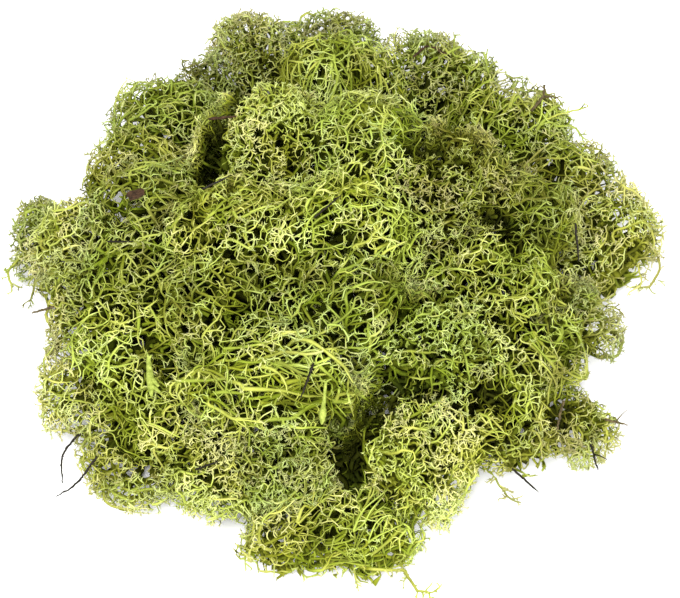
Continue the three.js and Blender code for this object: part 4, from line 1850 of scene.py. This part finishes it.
@dataclass(frozen=True)
class Rod:
    """A needle, a twig or a loose stalk that the moss has caught; lengths in mm."""

    name: str
    form: Form
    finish: str
    width: float
    path: tuple[tuple[float, float], ...]  # x and y along it
    forks: tuple[tuple[float, ...], ...] = ()  # where each leaves, and its run in x, y and z
    knots: float = 0.0  # how much it bulges at its knots

    SHIFT = (-0.43, -1.2)  # how far the solids lie from the places in the paths
    STEP = 0.4  # distance between its rings
    BEAT = 2.6  # distance between its knots

    def _centres(self, mesh: bpy.types.Mesh) -> np.ndarray:
        """Finds the middle of the solid near each place of the path.

        Args:
            mesh: the solid's mesh, in metres.

        Returns:
            The middles, in mm.
        """
        places = np.unique(np.round(vertices_mm(mesh), 3), axis=0)
        centres = []
        for place in np.array(self.path, float) + self.SHIFT:
            close = np.argsort(((places[:, :2] - place) ** 2).sum(1))[:6]
            centres.append((*place, places[close, 2].mean()))
        return np.array(centres)

    def _along(self, centres: np.ndarray) -> np.ndarray:
        """Runs a smooth line through the centres, in short even steps.

        Args:
            centres: the places that it passes.

        Returns:
            The points of the line.
        """
        padded = np.vstack([2 * centres[0] - centres[1], centres, 2 * centres[-1] - centres[-2]])
        line = []
        for i in range(1, len(padded) - 2):
            a, b, c, d = padded[i - 1 : i + 3]
            for t in np.arange(0, 1, self.STEP / max(np.linalg.norm(c - b), 1e-6)):
                bend = (2 * a - 5 * b + 4 * c - d) * t**2 + (3 * b - a - 3 * c + d) * t**3
                line.append(0.5 * (2 * b + (c - a) * t + bend))
        return np.array([*line, centres[-1]])

    def build(self, mesh: bpy.types.Mesh, tree: RodTree, finish: bpy.types.Material) -> None:
        """Makes the piece in the place of its solid.

        Args:
            mesh: the solid's mesh, in metres.
            tree: the node tree that makes rods.
            finish: its material.
        """
        rng = np.random.default_rng(sum(map(ord, self.name)))
        line = self._along(self._centres(mesh))
        count = len(line)
        share = np.linspace(0, 1, count)
        beat = np.cos(share * count * self.STEP / self.BEAT * 2 * math.pi + rng.uniform(0, 6))
        bulge = 1 + self.knots * np.clip(beat, 0, 1) ** 6
        radius = self.width / 2 * self.form.girth(share) * bulge
        line[1:-1] += rng.normal(0, 0.04 + 0.1 * self.knots, (count - 2, 3))
        lines, radii = [line], [radius]
        for at, *run in self.forks:
            start, length = int(at * (count - 1)), np.linalg.norm(run)
            reach = np.linspace(0, 1, max(4, int(length / self.STEP)))[:, None]
            arc = 0.12 * length * np.sin(math.pi * reach) * UP
            lines.append(line[start] + reach * np.array(run, float) + arc)
            radii.append(radius[start] * np.linspace(0.8, 0.35, len(reach)))
        bones = bpy.data.meshes.new(self.name + "_bones")
        starts = np.cumsum([0] + [len(part) for part in lines])
        links = [(i, i + 1) for a, b in zip(starts[:-1], starts[1:]) for i in range(a, b - 1)]
        bones.from_pydata((np.concatenate(lines) * MM).tolist(), links, [])
        thick = bones.attributes.new("thick", "FLOAT", "POINT")
        thick.data.foreach_set("value", np.concatenate(radii) * MM)
        relief = (0.03 + 0.06 * self.width * (self.form is Form.TWIG)) * MM
        name = self.name + "_litter"
        made = run_tree(tree, name, bones, {"Relief": relief, "Finish": finish})
        settle(name, made, self.name)


@dataclass(frozen=True)
class BarkFlake:
    """A thin broken flake of bark; lengths in mm."""

    name: str = "bark_flake"
    finish: str = "bark"
    size: tuple[float, float, float] = (4.6, 2.6, 0.9)
    turn: float = 0.4
    rings: int = 5
    sides: int = 30

    def build(self, finish: bpy.types.Material) -> None:
        """Makes the flake in the place of its solid.

        Args:
            finish: its material.
        """
        rng = np.random.default_rng(5)
        low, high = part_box(self.name)
        middle = (np.array(low) + np.array(high)) / 2 / MM
        angle = np.arange(self.sides) * 2 * math.pi / self.sides
        edge = 1 + 0.07 * np.sin(3 * angle + 1) + 0.05 * np.sin(7 * angle)
        edge = edge + rng.normal(0, 0.035, self.sides)
        circle = np.c_[np.cos(angle), np.sin(angle)]
        square = 1 / np.abs(circle).max(1) ** 0.7
        ridge = Drift.over(rng, 1.4)
        half = np.array(self.size) / 2
        vertices = []
        for side in (1, -1):
            for ring in range(1, self.rings + 1):
                share = ring / self.rings
                flat = circle * (square * edge * share)[:, None] * half[:2]
                drop = 1 - 0.75 * share**4
                relief = 0.16 * ridge.at(np.c_[flat * (1.0, 3.0), np.full(self.sides, side)])
                height = side * half[2] * drop + relief * (share < 1) + 0.25 * share**2
                vertices.append(np.c_[flat, height])
            vertices.append(np.array([[0, 0, side * half[2]]]))
        points = np.concatenate(vertices)
        c, s = math.cos(self.turn), math.sin(self.turn)
        points = points @ np.array([[c, s, 0], [-s, c, 0], [0, 0, 1]]) + middle
        mesh = bpy.data.meshes.new(self.name)
        mesh.from_pydata((points * MM).tolist(), [], self._faces())
        mesh.materials.append(finish)
        settle(self.name + "_litter", mesh, self.name)

    def _faces(self) -> list[tuple[int, ...]]:
        """Joins the rings of both sides, and the two sides at the rim.

        Returns:
            The faces, by the numbers of their corners.
        """
        faces, count = [], self.rings * self.sides
        wrap = [(i, (i + 1) % self.sides) for i in range(self.sides)]
        for side, first in ((1, 0), (-1, count + 1)):
            for i, j in wrap:
                faces.append((first + count, first + i, first + j)[::side])
                for ring in range(self.rings - 1):
                    a = first + ring * self.sides
                    faces.append((a + i, a + self.sides + i, a + self.sides + j, a + j)[::side])
        rim, under = count - self.sides, 2 * count + 1 - self.sides
        return faces + [(rim + i, under + i, under + j, rim + j) for i, j in wrap]


@dataclass
class Litter:
    """What the moss caught on the forest floor."""

    rods: list[Rod]
    flake: BarkFlake = field(default_factory=BarkFlake)

    def build(
        self, nodes: dict[str, bpy.types.Object], finishes: dict[str, bpy.types.Material]
    ) -> None:
        """Makes every piece of litter.

        Args:
            nodes: the solids by name.
            finishes: the litter materials by name.
        """
        tree = RodTree()
        for rod in self.rods:
            rod.build(nodes[rod.name].data, tree, finishes[rod.finish])
        self.flake.build(finishes[self.flake.finish])


@dataclass(frozen=True)
class Studio:
    """The floor, the lamps and the camera; lengths in metres."""

    aim: tuple[float, float, float] = (0.0010, -0.0081, 0.0185)
    distance: float = 0.7
    elevation: float = 60.0
    lens: float = 143.0
    floor_size: float = 3.0
    floor_shade: float = 0.93
    lamps: tuple = (
        ("key_lamp", (-0.1, -0.5, 1.1), 0.3, 17.0),
        ("fill_lamp", (0.5, -0.8, 0.7), 0.8, 8.0),
    )

    def build(self) -> None:
        """Sets the stage."""
        scene = bpy.context.scene
        self._floor()
        for name, place, size, power in self.lamps:
            lamp = bpy.data.lights.new(name, "AREA")
            lamp.size, lamp.energy = size, power
            self._look(name, lamp, place)
        scene.world = bpy.data.worlds.new("studio_air")
        scene.world.use_nodes = True
        air = scene.world.node_tree.nodes["Background"].inputs
        air["Color"].default_value, air["Strength"].default_value = (1.0, 1.0, 1.0, 1.0), 1.0
        scene.view_settings.view_transform = "Standard"
        self._camera()

    def _floor(self) -> None:
        """Makes the plain pale floor."""
        half = self.floor_size / 2
        corners = [(-half, -half, 0), (half, -half, 0), (half, half, 0), (-half, half, 0)]
        mesh = bpy.data.meshes.new("floor")
        mesh.from_pydata(corners, [], [(0, 1, 2, 3)])
        material = bpy.data.materials.new("pale_floor")
        material.use_nodes = True
        shader = material.node_tree.nodes["Principled BSDF"].inputs
        shader["Base Color"].default_value = (*[self.floor_shade] * 3, 1.0)
        shader["Roughness"].default_value = 0.9
        mesh.materials.append(material)
        floor = bpy.data.objects.new("floor", mesh)
        bpy.context.scene.collection.objects.link(floor)

    def _camera(self) -> None:
        """Sets up the camera."""
        data = bpy.data.cameras.new("camera")
        data.lens, data.sensor_width, data.clip_start = self.lens, 36.0, 0.01
        angle = math.radians(self.elevation)
        out = (0.0, -math.cos(angle) * self.distance, math.sin(angle) * self.distance)
        place = tuple(a + o for a, o in zip(self.aim, out))
        bpy.context.scene.camera = self._look("camera", data, place)

    def _look(self, name: str, data: bpy.types.ID, place: tuple[float, ...]) -> bpy.types.Object:
        """Puts a lamp or camera somewhere and turns it towards the clump.

        Args:
            name: its name.
            data: the lamp or camera.
            place: where it goes.

        Returns:
            Its object.
        """
        thing = bpy.data.objects.new(name, data)
        thing.location = place
        way = Vector(self.aim) - Vector(place)
        thing.rotation_euler = way.to_track_quat("-Z", "Y").to_euler()
        bpy.context.scene.collection.objects.link(thing)
        return thing


def lichen_finishes() -> dict[str, bpy.types.Material]:
    """Makes the six lichen materials, by the ending of their slot.

    Returns:
        The materials.
    """
    tints = {
        "lime": ((0.95, 1.0, 0.9), (0.94, 0.91, 0.82)),
        "yellow": ((1.0, 1.01, 0.95), (0.99, 0.93, 0.86)),
        "pale": ((1.07, 1.05, 1.12), (1.03, 0.97, 1.0)),
        "green": ((0.88, 0.96, 0.86), (0.88, 0.87, 0.78)),
        "olive": ((0.94, 0.94, 0.9), (0.92, 0.86, 0.8)),
        "dark": ((0.82, 0.86, 0.82), (0.8, 0.78, 0.72)),
    }
    return {key: LichenFinish("lichen_" + key, *pair).make() for key, pair in tints.items()}


def litter_finishes() -> dict[str, bpy.types.Material]:
    """Makes the materials of the litter, by slot.

    Returns:
        The materials.
    """
    finishes = (
        WoodFinish("needle", (10, 8, 4), (36, 30, 18), 0.5),
        WoodFinish("stick", (44, 38, 22), (104, 90, 58), 0.7),
        WoodFinish("bark", (28, 19, 12), (76, 54, 36), 0.8),
        WoodFinish("stalk", (104, 118, 38), (168, 180, 86), 0.8),
    )
    return {finish.name: finish.make() for finish in finishes}


def tufts() -> list[Tuft]:
    """Lists the tufts with what each is like.

    Returns:
        The tufts, in the order of their growing.
    """
    cushion, net, stalks, lace = Habit.CUSHION, Habit.NET, Habit.STALKS, Habit.LACE
    left_ends = (((-82, 5, 19), (-86, 2, 16), (-85, -2, 12)), ((-79, 1, 14), (-80, -4, 10)))
    front_ends = (((4, -82, 12), (6, -87, 11)), ((17, -82, 12), (20, -87, 11), (24, -87, 10)))
    front_right_ends = (((39, -58, 18), (43, -62, 13), (46, -63, 12)),)
    right_ends = (
        ((81, 9, 20), (84.5, 6, 17), (85, 3, 15), (82, -2, 14), (78, -2, 14)),
        ((79, 3, 17), (80, -1, 15), (76, -4, 14)),
        ((80, 13, 20), (84, 11, 19)),
    )
    back_right_ends = (
        ((57, 42, 28), (62, 44, 28), (67, 46, 27)),
        ((58, 40, 27), (63, 40, 27), (66, 37, 25)),
        ((56, 39, 27), (59, 36, 26), (64, 33, 24)),
    )
    back_ends = (((31, 61, 30), (32, 66, 31)), ((41, 55, 28), (40, 60, 30)))
    dense = 1.9
    return [
        Tuft("left_edge_tuft", cushion, "dark", packed=dense, dense=1.1, sprigs=left_ends),
        Tuft("left_pale_tuft", lace, "pale", tone=0.75),
        Tuft("left_lower_olive_tuft", cushion, "olive", tone=0.55),
        Tuft("left_low_yellow_tuft", lace, "pale", tone=0.63),
        Tuft("front_left_tuft", lace, "yellow", tone=0.55),
        Tuft("front_left_dome", cushion, "yellow", dense=1.1, tone=0.68),
        Tuft("front_fringe_tuft", stalks, "yellow", 42, None, 0.6, tone=0.72, sprigs=front_ends),
        Tuft("front_strand_tuft", stalks, "lime", 45, None, 0.6, tone=0.85),
        Tuft("front_right_dome", cushion, "yellow", dense=1.25, tone=0.81),
        Tuft("front_right_tuft", lace, "olive", sprigs=front_right_ends),
        Tuft("right_corner_tuft", lace, "yellow"),
        Tuft("right_low_green_tuft", cushion, "dark", dense=1.1, tone=0.32),
        Tuft("right_pale_tuft", lace, "pale", packed=dense, tone=0.65, sprigs=right_ends),
        Tuft("back_right_tuft", net, "olive", packed=dense, tone=0.4),
        Tuft(
            "back_right_lime_tuft", stalks, "lime", 60, None, 0.9,
            tone=0.58, packed=dense, sprigs=back_right_ends,
        ),
        Tuft("back_olive_tuft", cushion, "dark", packed=dense, dense=0.9, sprigs=back_ends),
        Tuft("back_rim_tuft", cushion, "dark", packed=dense, dense=0.9),
        Tuft("back_left_knob", cushion, "olive", packed=dense, dense=1.15),
        Tuft("back_left_low_tuft", cushion, "dark", packed=dense, dense=0.8, tone=0.25),
        Tuft("back_left_tuft", net, "green", 20, packed=dense),
        Tuft("left_shoulder_tuft", net, "olive", -30, tone=0.55),
        Tuft("crown_stalk_tuft", stalks, "lime", 0, (0, 75), 0.8, tone=0.58, packed=dense),
        Tuft("crown_dome", cushion, "yellow", dense=1.12, tone=0.72),
        Tuft("crown_right_tuft", net, "green", -90, tone=0.78),
        Tuft("left_middle_tuft", net, "green", tone=0.35),
        Tuft("centre_left_net", net, "yellow", 38, tone=0.62),
        Tuft("centre_net", net, "lime", 20, tone=0.8),
        Tuft("centre_right_tuft", cushion, "yellow", tone=0.25),
        Tuft("right_shadow_tuft", net, "dark", 30, tone=0.4),
        Tuft("right_middle_net", net, "lime", -10),
        Tuft("left_green_tuft", net, "green"),
        Tuft("left_lime_tuft", net, "lime", 10, tone=0.9),
        Tuft("middle_left_tuft", net, "lime", -20, tone=0.42),
        Tuft("middle_tuft", net, "green", 30, tone=0.45),
        Tuft("stalk_mat", stalks, "lime", -8, tone=0.68),
        Tuft("lower_left_tuft", net, "olive", -40, tone=0.85),
        Tuft("lower_middle_tuft", cushion, "green", dense=1.25, tone=0.44),
        Tuft("lower_right_tuft", cushion, "green", tone=0.6),
        Tuft("right_fan_tuft", stalks, "lime", 0, (33, -15), 0.8, tone=0.55),
        Tuft("right_low_tuft", net, "olive", -60, tone=0.68),
    ]


def rods() -> list[Rod]:
    """Lists the rods of litter.

    Returns:
        The rods.
    """
    needle, twig = Form.NEEDLE, Form.TWIG
    horns = (
        (0.02, -0.5, 1.5, 0.2), (0.04, 0.7, 1.2, 0.3),
        (0.5, 2.2, -2.6, 0.2), (0.75, 2.4, -1.8, 0.1),
    )
    forked = ((0.5, 4, -1, 1), (0.8, -1.2, 0.8, 0.3))
    corner, right = ((64, -49), (66, -56)), ((68, -44), (74, -44))
    tufted = ((0.02, -1.6, 0.6, -0.3), (0.02, 1.4, 1.0, -0.3))
    bent, curved = ((52, 43), (55, 47), (56, 52)), ((21, 60), (25, 63), (30, 61))
    hooked, angled = ((-63, -46), (-68, -52), (-68, -59)), ((-59, -55), (-64, -61), (-69, -64))
    return [
        Rod("horn_stalk", Form.HORN, "stalk", 1.7, ((-46, -35), (-45, -45)), horns, 0.08),
        Rod("spindle_stalk", Form.SPINDLE, "stalk", 1.8, ((-2, -46), (-3, -55)), tufted, 0.05),
        Rod("needle_back_left", needle, "needle", 0.55, ((-33, 4), (-26, 7))),
        Rod("needle_left", needle, "needle", 0.55, ((-57, -5), (-50, -7))),
        Rod("needle_centre", needle, "needle", 0.55, ((-5, -7), (2, -1))),
        Rod("needle_front_left", needle, "needle", 0.55, ((-34, -63), (-28, -62))),
        Rod("needle_front_right", needle, "needle", 0.6, ((44, -59), (51, -64))),
        Rod("notched_stick", twig, "needle", 0.65, ((-5, -42), (-8, -50)), knots=0.5),
        Rod("left_stick", twig, "stick", 0.65, ((-71, -17), (-77, -16)), knots=0.3),
        Rod("left_hooked_twig", twig, "needle", 0.6, hooked, knots=0.4),
        Rod("front_left_bent_twig", twig, "needle", 0.6, angled, knots=0.4),
        Rod("back_right_twig", twig, "stick", 0.7, bent, forked, 0.5),
        Rod("back_curved_twig", twig, "bark", 0.6, curved, ((0.7, 1.6, -1.8, -0.4),), 0.5),
        Rod("right_dark_stem", twig, "needle", 0.65, ((61, 2), (62, -6)), knots=0.3),
        Rod("lower_right_stick", twig, "stick", 0.7, ((57, -43), (55, -51)), knots=0.4),
        Rod("right_corner_twig", twig, "needle", 0.6, corner, ((0.5, 3, -2, 1),), 0.5),
        Rod("right_forked_twig", twig, "stick", 0.6, right, ((0.5, 3, 3, 1),), 0.5),
        Rod("reddish_twig", twig, "bark", 0.7, ((-32, 28), (-25, 26)), knots=0.4),
    ]


def main() -> None:
    """Builds the clump and its stage."""
    logging.basicConfig(level=logging.INFO, format="%(message)s")
    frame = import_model()
    Clump(tufts()).build(frame["nodes"], lichen_finishes())
    Litter(rods()).build(frame["nodes"], litter_finishes())
    Studio().build()


if __name__ == "__main__":
    main()
